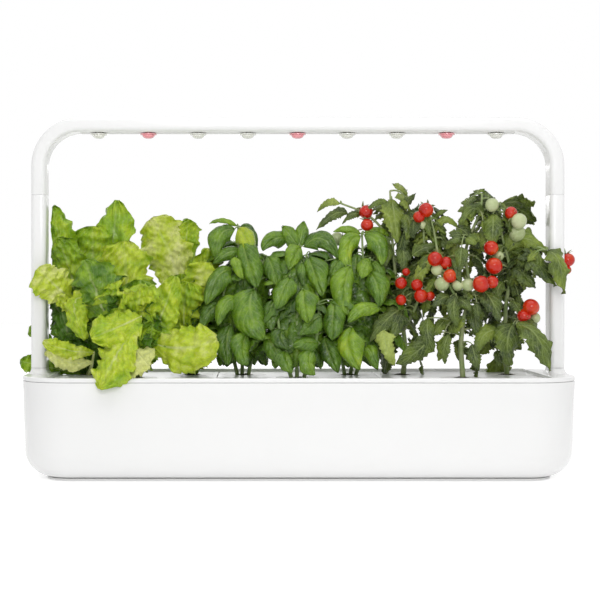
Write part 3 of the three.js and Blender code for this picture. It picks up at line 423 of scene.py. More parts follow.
def revolved(name, profile, sides, centre, material):
    """A closed profile of (radius, height) turned round an upright axis."""
    angles = circle(sides)
    rings = [np.column_stack([centre[0] + radius * np.cos(angles),
                              centre[1] + radius * np.sin(angles),
                              np.full(sides, height)]) for radius, height in profile]
    on_axis = profile[0][0] == 0
    if on_axis:
        rings = rings[1:-1]
    return add_object(name, *loft(rings, loop=not on_axis), material)


def combine(piece, tool, operation):
    """Joins, cuts or crops a piece by another closed one, which is used up."""
    modifier = piece.modifiers.new("combine", "BOOLEAN")
    modifier.operation = operation
    modifier.solver = "MANIFOLD"
    modifier.object = tool
    graph = bpy.context.evaluated_depsgraph_get()
    mesh = bpy.data.meshes.new_from_object(piece.evaluated_get(graph))
    piece.modifiers.clear()
    old = piece.data
    piece.data = mesh
    mesh.name = old.name
    bpy.data.meshes.remove(old)
    bpy.data.objects.remove(tool)
    mesh.polygons.foreach_set("use_smooth", [True] * len(mesh.polygons))
    mesh.set_sharp_from_angle(angle=SHARP_ANGLE)
    return piece


def seat(piece, node):
    """The piece stands for a CAD node: it rides on the node's body, and the node is hidden."""
    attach(piece, BODY_OF_NODE[node])
    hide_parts(node)


def quarter_turn(steps=ROUND_STEPS):
    """Angles from zero to a right angle."""
    return [QUARTER * step / steps for step in range(steps + 1)]


def top_edge(outline, top, radius):
    """Rings over a rounded top edge; outline gives the wall's outline drawn in by a length."""
    return [ring_at(outline(radius * (1 - math.cos(turn))), top - radius * (1 - math.sin(turn)))
            for turn in quarter_turn()]


def bottom_edge(outline, bottom, radius, steps=ROUND_STEPS):
    """Rings over a rounded bottom edge, from below upwards."""
    return [ring_at(outline(radius * (1 - math.sin(turn))),
                    bottom + radius * (1 - math.cos(turn))) for turn in quarter_turn(steps)]


def middle_of(box):
    """The middle of a box in plan."""
    low, high = box
    return (low.x + high.x) / 2, (low.y + high.y) / 2


# Places read from the frame
tub_low, tub_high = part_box("reservoir_tub")
rim_low, rim_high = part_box("rim_frame")
tray_boxes = {name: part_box(f"tray_{name}") for name in ("left", "middle", "right")}
arm_low, arm_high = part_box("extension_arm_left")
arch_low, arch_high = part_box("lamp_arch")
HALF_LENGTH, HALF_DEPTH = tub_high.x, tub_high.y
TUB_TOP, TUB_BOTTOM = tub_high.z, tub_low.z
RIM_BOTTOM = TUB_TOP + SEAM_GAP
TRAY_TOP = tray_boxes["left"][1].z
RIM_TOP = TRAY_TOP + TRAY_RECESS
TRAY_BOTTOM = TRAY_TOP - TRAY_THICKNESS
SOCKET_TOP = rim_high.z
OPENING_HALF_LENGTH = HALF_LENGTH - RIM_END_WIDTH
OPENING_HALF_DEPTH = HALF_DEPTH - RIM_SIDE_WIDTH
LEG_PLACE = -(arm_low.x + arm_high.x) / 2
ARCH_UNDERSIDE = arch_high.z - 2 * LEG_HALF_WIDTH


def body_outline(inset):
    return rounded_outline(HALF_LENGTH - inset, HALF_DEPTH - inset,
                           BODY_CORNER_RADIUS - inset, BODY_CORNER_STEPS)


def make_tub():
    straight_inset = TUB_DRAFT_SHARE * (TUB_TOP - TUB_BOTTOM - TUB_BOTTOM_RADIUS)

    def fillet(wall):
        return bottom_edge(lambda drawn: body_outline(wall + straight_inset + drawn),
                           TUB_BOTTOM + wall, TUB_BOTTOM_RADIUS - wall, FILLET_STEPS)

    tub = add_object("tank_shell", *loft([
        *fillet(0), *top_edge(body_outline, TUB_TOP, EDGE_ROUND),
        ring_at(body_outline(TUB_WALL), TUB_TOP), *fillet(TUB_WALL)[::-1]]), WHITE_SHELL)
    notch = block("notch",
                  (DRY_BOX_PLACE - DRY_BOX_HALF_LENGTH - NOTCH_GAP,
                   HALF_DEPTH - OVERRUN - 2 * TUB_WALL, DRY_BOX_BOTTOM - NOTCH_GAP),
                  (DRY_BOX_PLACE + DRY_BOX_HALF_LENGTH + NOTCH_GAP, HALF_DEPTH + OVERRUN,
                   TUB_TOP + OVERRUN))
    seat(combine(tub, notch, "DIFFERENCE"), "reservoir_tub")


# The dry box behind the rim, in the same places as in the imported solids
DRY_BOX_PLACE = -(OPENING_HALF_LENGTH - INLET_FROM_OPENING_END)
LEDGE_TOP = TRAY_BOTTOM - FIT_GAP
LEDGE_BOTTOM = LEDGE_TOP - LEDGE_THICKNESS
DRY_BOX_TOP = LEDGE_BOTTOM + LEDGE_THICKNESS / 2
DRY_BOX_BOTTOM = DRY_BOX_TOP - DRY_BOX_HEIGHT
DRY_BOX_FACE = HALF_DEPTH - DRY_BOX_FACE_INSET


def opening_outline(spread):
    return rounded_outline(OPENING_HALF_LENGTH + spread, OPENING_HALF_DEPTH + spread,
                           OPENING_RADIUS + spread, BODY_CORNER_STEPS)


def leg_outline(spread, side, steps=SMALL_CORNER_STEPS):
    return rounded_outline(LEG_HALF_WIDTH + spread, LEG_HALF_DEPTH + spread,
                           LEG_CORNER_RADIUS + spread, steps, (side * LEG_PLACE, 0))


def bore_outline(shrink, side):
    return rounded_outline(LEG_HALF_WIDTH - LEG_WALL - shrink, LEG_HALF_DEPTH - LEG_WALL - shrink,
                           LEG_BORE_RADIUS, BORE_CORNER_STEPS, (side * LEG_PLACE, 0))


def make_rim_band():
    """The rim's band with its skirt, the ledge inside it and the bars between the trays."""
    skirt_bottom = RIM_BOTTOM - SKIRT_DEPTH
    rim = add_object("rim_moulding", *loft([
        ring_at(body_outline(EDGE_ROUND), RIM_BOTTOM),
        ring_at(body_outline(0), RIM_BOTTOM + EDGE_ROUND),
        *top_edge(body_outline, RIM_TOP, RIM_EDGE_ROUND),
        *top_edge(opening_outline, RIM_TOP, EDGE_ROUND)[::-1],
        ring_at(opening_outline(0), skirt_bottom),
        ring_at(opening_outline(SKIRT_THICKNESS), skirt_bottom),
        ring_at(opening_outline(SKIRT_THICKNESS), RIM_BOTTOM),
    ], loop=True), WHITE_SHELL)
    ledge = add_object("ledge", *loft([
        ring_at(opening_outline(SKIRT_THICKNESS / 2), LEDGE_BOTTOM),
        ring_at(opening_outline(SKIRT_THICKNESS / 2), LEDGE_TOP),
        ring_at(opening_outline(-LEDGE_WIDTH), LEDGE_TOP),
        ring_at(opening_outline(-LEDGE_WIDTH), LEDGE_BOTTOM),
    ], loop=True), WHITE_SHELL)
    combine(rim, ledge, "UNION")
    reach = OPENING_HALF_DEPTH + SKIRT_THICKNESS / 2
    for one, other in (("left", "middle"), ("middle", "right")):
        place = (tray_boxes[one][1].x + tray_boxes[other][0].x) / 2
        combine(rim, block("crossbar", (place - CROSSBAR_HALF, -reach, skirt_bottom),
                           (place + CROSSBAR_HALF, reach, LEDGE_TOP)), "UNION")
    return rim


def add_socket(rim, side):
    """The flared boss that a leg stands on, and the pocket in it for the arm's plug."""
    boss = add_object("boss", *loft([
        ring_at(leg_outline(BOSS_FLARE * (1 - math.sin(turn)), side, FILLET_STEPS),
                SOCKET_TOP - (SOCKET_TOP - RIM_TOP + RIM_EDGE_ROUND) * math.cos(turn))
        for turn in quarter_turn(FILLET_STEPS)]), WHITE_SHELL)
    combine(boss, prism("limit", body_outline(RIM_EDGE_ROUND / 2), RIM_BOTTOM,
                        SOCKET_TOP + OVERRUN), "INTERSECT")
    combine(rim, boss, "UNION")
    combine(rim, prism("pocket_wall", bore_outline(-SOCKET_WALL, side), rim_low.z,
                       RIM_BOTTOM + SEAM_GAP), "UNION")
    combine(rim, prism("pocket", bore_outline(0, side), rim_low.z + SOCKET_WALL,
                       SOCKET_TOP + OVERRUN), "DIFFERENCE")


def make_rim():
    rim = make_rim_band()
    for _, side in SIDES:
        add_socket(rim, side)
    box_front = DRY_BOX_FACE - DRY_BOX_FRONT_TO_FACE
    left, right = DRY_BOX_PLACE - DRY_BOX_HALF_LENGTH, DRY_BOX_PLACE + DRY_BOX_HALF_LENGTH
    combine(rim, block("box", (left, box_front, DRY_BOX_BOTTOM),
                       (right, DRY_BOX_FACE, DRY_BOX_TOP)), "UNION")
    combine(rim, block("box_link", (left, OPENING_HALF_DEPTH + SKIRT_THICKNESS / 2,
                                    DRY_BOX_TOP - OVERRUN),
                       (right, DRY_BOX_FACE, RIM_BOTTOM + SEAM_GAP)), "UNION")
    combine(rim, block("box_room", (left + DRY_BOX_WALL, box_front + DRY_BOX_WALL,
                                    DRY_BOX_BOTTOM + DRY_BOX_WALL),
                       (right - DRY_BOX_WALL, DRY_BOX_FACE + OVERRUN,
                        DRY_BOX_TOP - DRY_BOX_WALL)), "DIFFERENCE")
    seat(rim, "rim_frame")


POD_PLACES = [middle_of(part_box(f"pod_cup_{pod}")) for pod in PODS]
guide_low, guide_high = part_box("float_guide")
GUIDE_PLACE = middle_of((guide_low, guide_high))


def make_trays():
    well_top = POD_TOP_RADIUS + WELL_GAP
    well_bottom = well_top - (POD_TOP_RADIUS - POD_BOTTOM_RADIUS) * (
        (SLEEVE_DEPTH + TRAY_THICKNESS) / POD_DEPTH)
    sleeve_bottom = TRAY_BOTTOM - SLEEVE_DEPTH
    flange_seat = TRAY_TOP - POD_FLANGE_THICKNESS - FIT_GAP
    for place, (name, (low, high)) in enumerate(tray_boxes.items()):
        half = ((high.x - low.x) / 2, (high.y - low.y) / 2)
        centre = ((low.x + high.x) / 2, 0)

        def plate_outline(inset):
            return rounded_outline(half[0] - inset, half[1] - inset, OPENING_RADIUS - inset,
                                   SMALL_CORNER_STEPS, centre)

        tray = add_object(f"tray_{name}_plate", *loft([
            ring_at(plate_outline(0), TRAY_BOTTOM),
            *top_edge(plate_outline, TRAY_TOP, EDGE_ROUND)]), TRAY_WHITE)
        for pod in POD_PLACES[place * PODS_PER_TRAY:(place + 1) * PODS_PER_TRAY]:
            combine(tray, revolved("sleeve", [
                (0, sleeve_bottom), (well_bottom + SLEEVE_WALL, sleeve_bottom),
                (well_top + SLEEVE_WALL, TRAY_BOTTOM + FIT_GAP), (0, TRAY_BOTTOM + FIT_GAP),
            ], ROUND_SIDES, pod, TRAY_WHITE), "UNION")
            combine(tray, revolved("well", [
                (0, sleeve_bottom - OVERRUN), (well_bottom, sleeve_bottom - OVERRUN),
                (well_bottom, sleeve_bottom), (well_top, flange_seat),
                (POD_FLANGE_RADIUS + WELL_GAP, flange_seat),
                (POD_FLANGE_RADIUS + WELL_GAP, TRAY_TOP - EDGE_ROUND),
                (POD_FLANGE_RADIUS + WELL_GAP + EDGE_ROUND, TRAY_TOP),
                (POD_FLANGE_RADIUS + WELL_GAP + EDGE_ROUND, TRAY_TOP + OVERRUN),
                (0, TRAY_TOP + OVERRUN)], ROUND_SIDES, pod, TRAY_WHITE), "DIFFERENCE")
        if name == "right":
            seat_height = TRAY_TOP - GUIDE_FLANGE_THICKNESS - FIT_GAP
            combine(tray, revolved("port", [
                (0, TRAY_BOTTOM - OVERRUN), (GUIDE_RADIUS + FIT_GAP, TRAY_BOTTOM - OVERRUN),
                (GUIDE_RADIUS + FIT_GAP, seat_height),
                (GUIDE_FLANGE_RADIUS + FIT_GAP, seat_height),
                (GUIDE_FLANGE_RADIUS + FIT_GAP, TRAY_TOP + OVERRUN), (0, TRAY_TOP + OVERRUN),
            ], ROUND_SIDES, GUIDE_PLACE, TRAY_WHITE), "DIFFERENCE")
        seat(tray, f"tray_{name}")


def make_pod_cups():
    cup_bottom = TRAY_TOP - POD_DEPTH
    under = TRAY_TOP - POD_FLANGE_THICKNESS
    lip = EDGE_ROUND / 2
    cup = [
        (POD_BOTTOM_HOLE, cup_bottom), (POD_BOTTOM_RADIUS - lip, cup_bottom),
        (POD_BOTTOM_RADIUS, cup_bottom + lip), (POD_TOP_RADIUS, under),
        (POD_FLANGE_RADIUS, under), (POD_FLANGE_RADIUS, TRAY_TOP - lip),
        (POD_FLANGE_RADIUS - lip, TRAY_TOP), (POD_LID_HOLE + lip, TRAY_TOP),
        (POD_LID_HOLE, TRAY_TOP - lip), (POD_LID_HOLE, under),
        (POD_TOP_RADIUS - POD_WALL, under),
        (POD_BOTTOM_RADIUS - POD_WALL, cup_bottom + POD_WALL),
        (POD_BOTTOM_HOLE, cup_bottom + POD_WALL)]
    for pod, place in enumerate(POD_PLACES, 1):
        seat(revolved(f"cup_{pod}", cup, ROUND_SIDES, place, POD_PLASTIC), f"pod_cup_{pod}")


def make_float():
    bottom, top = guide_low.z, guide_high.z
    bore = GUIDE_RADIUS - GUIDE_WALL
    under = top - GUIDE_FLANGE_THICKNESS
    lip = EDGE_ROUND / 2
    seat(revolved("port_tube", [
        (bore - GUIDE_LIP_WIDTH, bottom), (GUIDE_RADIUS - lip, bottom),
        (GUIDE_RADIUS, bottom + lip), (GUIDE_RADIUS, under), (GUIDE_FLANGE_RADIUS, under),
        (GUIDE_FLANGE_RADIUS, top - lip), (GUIDE_FLANGE_RADIUS - lip, top),
        (bore + lip, top), (bore, top - lip), (bore, bottom + GUIDE_LIP_THICKNESS),
        (bore - GUIDE_LIP_WIDTH, bottom + GUIDE_LIP_THICKNESS),
    ], ROUND_SIDES, GUIDE_PLACE, WHITE_INNER), "float_guide")
    low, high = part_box("water_float")
    radius = bore - FLOAT_CLEARANCE
    shoulder = low.z + FLOAT_HEIGHT
    seat(revolved("float_body", [
        (0, low.z), (radius - EDGE_ROUND, low.z), (radius, low.z + EDGE_ROUND),
        (radius, shoulder - EDGE_ROUND), (radius - EDGE_ROUND, shoulder),
        (FLOAT_ROD_RADIUS + EDGE_ROUND, shoulder), (FLOAT_ROD_RADIUS, shoulder + EDGE_ROUND),
        (FLOAT_ROD_RADIUS, high.z), (0, high.z)], ROUND_SIDES, GUIDE_PLACE, FLOAT_PLASTIC),
        "water_float")
    low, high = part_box("float_indicator")
    rod_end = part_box("water_float")[1].z + FIT_GAP
    seat(revolved("level_cap", [
        (FLOAT_ROD_RADIUS + FIT_GAP, low.z), (INDICATOR_RADIUS - lip, low.z),
        (INDICATOR_RADIUS, low.z + lip), (INDICATOR_RADIUS, rod_end + lip),
        (INDICATOR_RADIUS * CAP_SHOULDER_SHARE, (rod_end + high.z) / 2 + lip),
        (INDICATOR_RADIUS * CAP_TOP_SHARE, high.z), (FIT_GAP, high.z), (FIT_GAP, rod_end),
        (FLOAT_ROD_RADIUS + FIT_GAP, rod_end)], ROUND_SIDES, GUIDE_PLACE, INDICATOR),
        "float_indicator")


def make_arms():
    for name, side in SIDES:
        low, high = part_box(f"extension_arm_{name}")

        def drawn_in(inset):
            return leg_outline(-inset, side)

        arm = add_object(f"arm_tube_{name}", *loft([
            *bottom_edge(drawn_in, low.z, SEAM_ROUND), *top_edge(drawn_in, high.z, SEAM_ROUND)]),
            WHITE_SHELL)
        combine(arm, prism("bore", bore_outline(0, side), low.z - OVERRUN, high.z + OVERRUN),
                "DIFFERENCE")
        seat(arm, f"extension_arm_{name}")


def arch_rings(half_width, half_depth, radius, steps, extra, lip):
    """Sections up one leg, round both bends and down the other, with the ends drawn in by lip."""
    centre_radius = ARCH_BEND_RADIUS - LEG_HALF_WIDTH
    beam_half = LEG_PLACE - centre_radius
    bend_height = arch_high.z - ARCH_BEND_RADIUS
    stations = []
    for side, quarter in ((-1, 0), (1, 1)):
        for step in range(BEND_STEPS + 1):
            turn = (quarter + step / BEND_STEPS) * QUARTER
            stations.append((side * beam_half - centre_radius * math.cos(turn),
                             bend_height + centre_radius * math.sin(turn), turn, 0))
    ends = [(lip * (1 - math.sin(turn)), lip * (1 - math.cos(turn)))
            for turn in quarter_turn()] if lip else [(0, -extra)]
    bottom = arch_low.z - SEAM_DROP
    feet = [(-LEG_PLACE, bottom + height, 0, drawn) for drawn, height in ends]
    toes = [(LEG_PLACE, bottom + height, 2 * QUARTER, drawn) for drawn, height in ends[::-1]]
    rings = []
    for x, z, turn, drawn in [*feet, *stations, *toes]:
        section = rounded_outline(half_width - drawn, half_depth - drawn, radius - drawn, steps)
        rings.append(np.column_stack([x + section[:, 0] * math.cos(turn), section[:, 1],
                                      z - section[:, 0] * math.sin(turn)]))
    return rings


def make_arch():
    arch = add_object("lamp_housing", *loft(arch_rings(
        LEG_HALF_WIDTH, LEG_HALF_DEPTH, LEG_CORNER_RADIUS, SMALL_CORNER_STEPS, 0, SEAM_ROUND)),
        WHITE_SHELL)
    hollow = add_object("hollow", *loft(arch_rings(
        LEG_HALF_WIDTH - LEG_WALL, LEG_HALF_DEPTH - LEG_WALL, LEG_BORE_RADIUS,
        BORE_CORNER_STEPS, OVERRUN, 0)), WHITE_SHELL)
    combine(arch, hollow, "DIFFERENCE")
    strip_low, strip_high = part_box("lens_strip")
    combine(arch, block("slot", (strip_low.x - FIT_GAP, -STRIP_HALF_WIDTH - FIT_GAP,
                                 ARCH_UNDERSIDE - OVERRUN),
                        (strip_high.x + FIT_GAP, STRIP_HALF_WIDTH + FIT_GAP,
                         ARCH_UNDERSIDE + LEG_WALL + OVERRUN)), "DIFFERENCE")
    seat(arch, "lamp_arch")
    strip = block("lens_carrier", strip_low, strip_high, WHITE_INNER)
    for led in LEDS:
        combine(strip, revolved("hole", [
            (0, strip_low.z - OVERRUN), (LENS_STEM_RADIUS + NOTCH_GAP, strip_low.z - OVERRUN),
            (LENS_STEM_RADIUS + NOTCH_GAP, strip_high.z + OVERRUN),
            (0, strip_high.z + OVERRUN)], SMALL_SIDES, middle_of(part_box(f"led_lens_{led}")),
            WHITE_INNER), "DIFFERENCE")
    seat(strip, "lens_strip")


def make_lenses():
    for led in LEDS:
        node = f"led_lens_{led}"
        low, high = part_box(node)
        flange_bottom = low.z + LENS_DOME_DEPTH
        flange_top = flange_bottom + LENS_FLANGE_THICKNESS
        lip = EDGE_ROUND / 3
        dome = [(LENS_DOME_RADIUS * math.cos(turn) ** LENS_DOME_BULGE,
                 flange_bottom - LENS_DOME_DEPTH * math.sin(turn))
                for turn in quarter_turn(FILLET_STEPS)[:-1]]
        profile = [(0, high.z), (LENS_STEM_RADIUS, high.z), (LENS_STEM_RADIUS, flange_top),
                   (LENS_FLANGE_RADIUS - lip, flange_top), (LENS_FLANGE_RADIUS, flange_top - lip),
                   (LENS_FLANGE_RADIUS, flange_bottom + lip),
                   (LENS_FLANGE_RADIUS - lip, flange_bottom), *dome, (0, low.z)]
        seat(revolved(f"lens_{led}", profile[::-1], ROUND_SIDES, middle_of((low, high)),
                      FINISH_OF_SLOT[SLOT_OF_NODE[node]]), node)


def make_foot_plate():
    low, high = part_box("base_plinth")
    inset = HALF_LENGTH - high.x
    plate = add_object("foot_plate", *loft([
        ring_at(body_outline(inset + SEAM_ROUND), low.z),
        ring_at(body_outline(inset), low.z + SEAM_ROUND),
        ring_at(body_outline(inset), high.z - SEAM_ROUND),
        ring_at(body_outline(inset + SEAM_ROUND), high.z)]), WHITE_INNER)
    for name in ("front_left", "front_right", "back_left", "back_right"):
        foot_low, foot_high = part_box(f"foot_{name}")
        centre = middle_of((foot_low, foot_high))
        radius = (foot_high.y - foot_low.y) / 2
        combine(plate, revolved("recess", [
            (0, low.z - OVERRUN), (radius + NOTCH_GAP, low.z - OVERRUN),
            (radius + NOTCH_GAP, foot_high.z + FIT_GAP), (0, foot_high.z + FIT_GAP),
        ], ROUND_SIDES, centre, WHITE_INNER), "DIFFERENCE")
        lip = EDGE_ROUND / 2
        seat(revolved(f"pad_{name}", [
            (0, 0), (radius - lip, 0), (radius, lip), (radius, foot_high.z - lip),
            (radius - lip, foot_high.z), (0, foot_high.z)], ROUND_SIDES, centre, FOOT_RUBBER),
            f"foot_{name}")
    seat(plate, "base_plinth")


# Stems and stalks: radii at the foot and the end
LETTUCE_STALK_RADII = (0.0026, 0.0012)
BASIL_STALK_RADII = (0.0009, 0.0006)
TOMATO_STALK_RADII = (0.0011, 0.0006)
COMPOUND_STALK_RADII = (0.0012, 0.0006)
LEAFLET_STALK_RADII = (0.0007, 0.0005)
FRUIT_STALK_RADII = (0.0008, 0.0007)
BASIL_STEM_RADII = (0.0023, 0.0011)
TOMATO_STEM_RADII = (0.0031, 0.0011)
BRANCH_SHARE = 0.6
STALK_TINT = 0.5
STEM_POINTS = 60
STEM_SIDES = 10
STEM_LEAN = np.array([0.3, 0.9, 0.31])
UP = np.array([0, 0, 1.0])
TO_CAMERA = np.array([0.0, -1.0, 0.0])
TINY = 1e-9
MM = 0.001

# A leaf's edge and surface waves: strength, count along it, lean across it and its own phase
UNEVEN_WAVES = ((0.10, 5.1, 1, 0), (0.06, 11.3, -1, 1))
RAGGED_WAVES = ((0.7, 71, 1, 7), (0.5, 113, 0, 2))
RUFFLE_WAVES = ((1, 1, 1.3, 3), (0.55, 2.3, -1, 4), (0.3, 4.1, 0, 5))
SIDED_COUNT, SIDED_PHASE = 37, 6
TOOTH_DRIFT, TOOTH_DRIFT_COUNT, TOOTH_PHASE = 0.15, 9, 2
PHASES = 8
# How near the edge each of them keeps, as a power of the way across
TOOTH_POWER, RAGGED_POWER, RUFFLE_POWER, WIDENING_POWER = 3, 4, 2.5, 3
WIDENING = 0.35
# The section's bend, and how fast the ruffle, the pillows and the puffs set in along the leaf
CUPPING_AT_BASE, CUPPING_GROWTH = 0.75, 0.5
RUFFLE_ONSET, QUILT_ONSET, BLISTER_ONSET, BLISTER_DELAY = 5, 6, 3, 0.5
# Pillows between the side veins, and the groove over the midrib
PILLOW_POWER, PILLOW_LEVEL = 0.7, 0.6
QUILT_SIDE_ONSET, QUILT_END_POWER = 4, 6
RIB_DEPTH, RIB_NARROWNESS = 1.3, 7
LEAF_TWIST = 0.25
# Puffs on a leaf: waves that make them, their lengths, and the mean of a folded wave
BLISTER_WAVES = 4
BLISTER_LENGTHS = (0.013, 0.034)
FOLDED_MEAN = 2 / math.pi
# A leaf beside a leg: the space over which it is pressed, and the gap that is left
LEAF_SQUASH = 0.010
LEAF_GAP = 0.001
# Smoothing of an outline: its points, the reach of the softening, and the ends that stay sharp
PROFILE_POINTS, PROFILE_SOFTENING, PROFILE_END_SHARE = 201, 9, 0.08


# Leaves, stems and fruit
class Foliage:
    """Leaves, stems or fruit gathered into one piece that rides on its pod."""

    def __init__(self):
        self.points, self.quads, self.marks = [], [], []
        self.count = 0

    def add(self, points, quads, marks):
        self.points.append(points)
        self.quads.append(quads + self.count)
        self.marks.append(marks)
        self.count += len(points)

    def build(self, name, material, pod, slot=None):
        points = np.concatenate(self.points)
        quads = np.concatenate(self.quads)
        mesh = bpy.data.meshes.new(name)
        mesh.vertices.add(len(points))
        mesh.vertices.foreach_set("co", points.ravel())
        mesh.loops.add(quads.size)
        mesh.loops.foreach_set("vertex_index", quads.ravel())
        mesh.polygons.add(len(quads))
        mesh.polygons.foreach_set("loop_start", np.arange(len(quads)) * quads.shape[1])
        mesh.update(calc_edges=True)
        mesh.validate()
        mesh.polygons.foreach_set("use_smooth", [True] * len(mesh.polygons))
        marks = np.concatenate([np.concatenate(self.marks), np.ones((len(points), 1))], axis=1)
        mesh.color_attributes.new("leaf", "FLOAT_COLOR", "POINT").data.foreach_set(
            "color", marks.ravel())
        mesh.materials.append(material)
        piece = bpy.data.objects.new(name, mesh)
        bpy.context.scene.collection.objects.link(piece)
        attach(piece, f"pod_{pod}")
        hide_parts(PLANT_OF_POD[pod])


PLANT_OF_POD = {pod: f"{KINDS[(pod - 1) // PODS_PER_TRAY]}_{(pod - 1) % PODS_PER_TRAY + 1}"
                for pod in PODS}


def unit(vector):
    return vector / np.maximum(np.linalg.norm(vector, axis=-1, keepdims=True), TINY)


def grid_quads(rows, columns, closed=False):
    """Quads of a grid of points, rows by columns, wrapped round its columns when closed."""
    across = np.arange(columns if closed else columns - 1)
    along = np.arange(rows - 1)[:, None] * columns
    first = along + across
    second = along + (across + 1) % columns
    return np.stack([first, second, second + columns, first + columns], axis=-1).reshape(-1, 4)


def shell_quads(rows, columns):
    """Quads of two sheets, one over the other, closed all round their edge."""
    sheet = grid_quads(rows, columns)
    size = rows * columns
    index = np.arange(size).reshape(rows, columns)
    edge = np.concatenate([index[0, :-1], index[:-1, -1], index[-1, :0:-1], index[:0:-1, 0]])
    following = np.roll(edge, -1)
    rim = np.stack([following, edge, edge + size, following + size], axis=-1)
    return np.concatenate([sheet, sheet[:, ::-1] + size, rim])


def curve_points(start, middle, end, count):
    """Points and tangents of the arc that starts, bends through the middle, and ends."""
    share = np.linspace(0, 1, count)[:, None]
    pull = 2 * middle - (start + end) / 2
    points = (1 - share) ** 2 * start + 2 * share * (1 - share) * pull + share ** 2 * end
    tangents = 2 * (1 - share) * (pull - start) + 2 * share * (end - pull)
    return points, unit(tangents)


def profile_at(table, places):
    """A smooth half-width profile through a short table of (place, width)."""
    fine = np.linspace(0, 1, PROFILE_POINTS)
    width = np.interp(fine, *zip(*table))
    window = 2 * PROFILE_SOFTENING + 1
    soft = np.convolve(np.pad(width, PROFILE_SOFTENING, mode="edge"), np.ones(window) / window,
                       mode="valid")
    soft_share = np.minimum(np.minimum(fine, 1 - fine) / PROFILE_END_SHARE, 1)
    return np.interp(places, fine, width * (1 - soft_share) + soft * soft_share)


def blisters(along, across, draws):
    """Irregular puffs with creased valleys, from a few folded waves in random directions."""
    total = 0
    for _ in range(BLISTER_WAVES):
        turn = draws.uniform(0, math.pi)
        count = 2 * math.pi / draws.uniform(*BLISTER_LENGTHS)
        folded = np.abs(np.sin((along * math.cos(turn) + across * math.sin(turn)) * count
                               + draws.uniform(0, math.pi)))
        total = total + folded - FOLDED_MEAN
    return total


def waves(table, along, across, phase):
    """A sum of sine waves; each row of the table is a strength, a count, a lean and a phase."""
    return sum(strength * np.sin(count * along + phase[own] + lean * across)
               for strength, count, lean, own in table)


def beside_leg(points):
    """A leaf that would grow into a leg is pressed against the leg's inner side."""
    inner = LEG_PLACE - LEG_HALF_WIDTH - LEAF_GAP
    reach = np.abs(points[..., 0])
    inside = (reach > inner) & (reach < LEG_PLACE + LEG_HALF_WIDTH + LEAF_GAP) \
        & (np.abs(points[..., 1]) < LEG_HALF_DEPTH + LEAF_GAP)
    if not inside.any():
        return points
    past = np.clip(reach - inner + LEAF_SQUASH, 0, None)
    pressed = reach - past + LEAF_SQUASH * np.tanh(past / LEAF_SQUASH)
    return np.stack([np.sign(points[..., 0]) * pressed, points[..., 1], points[..., 2]],
                    axis=-1)


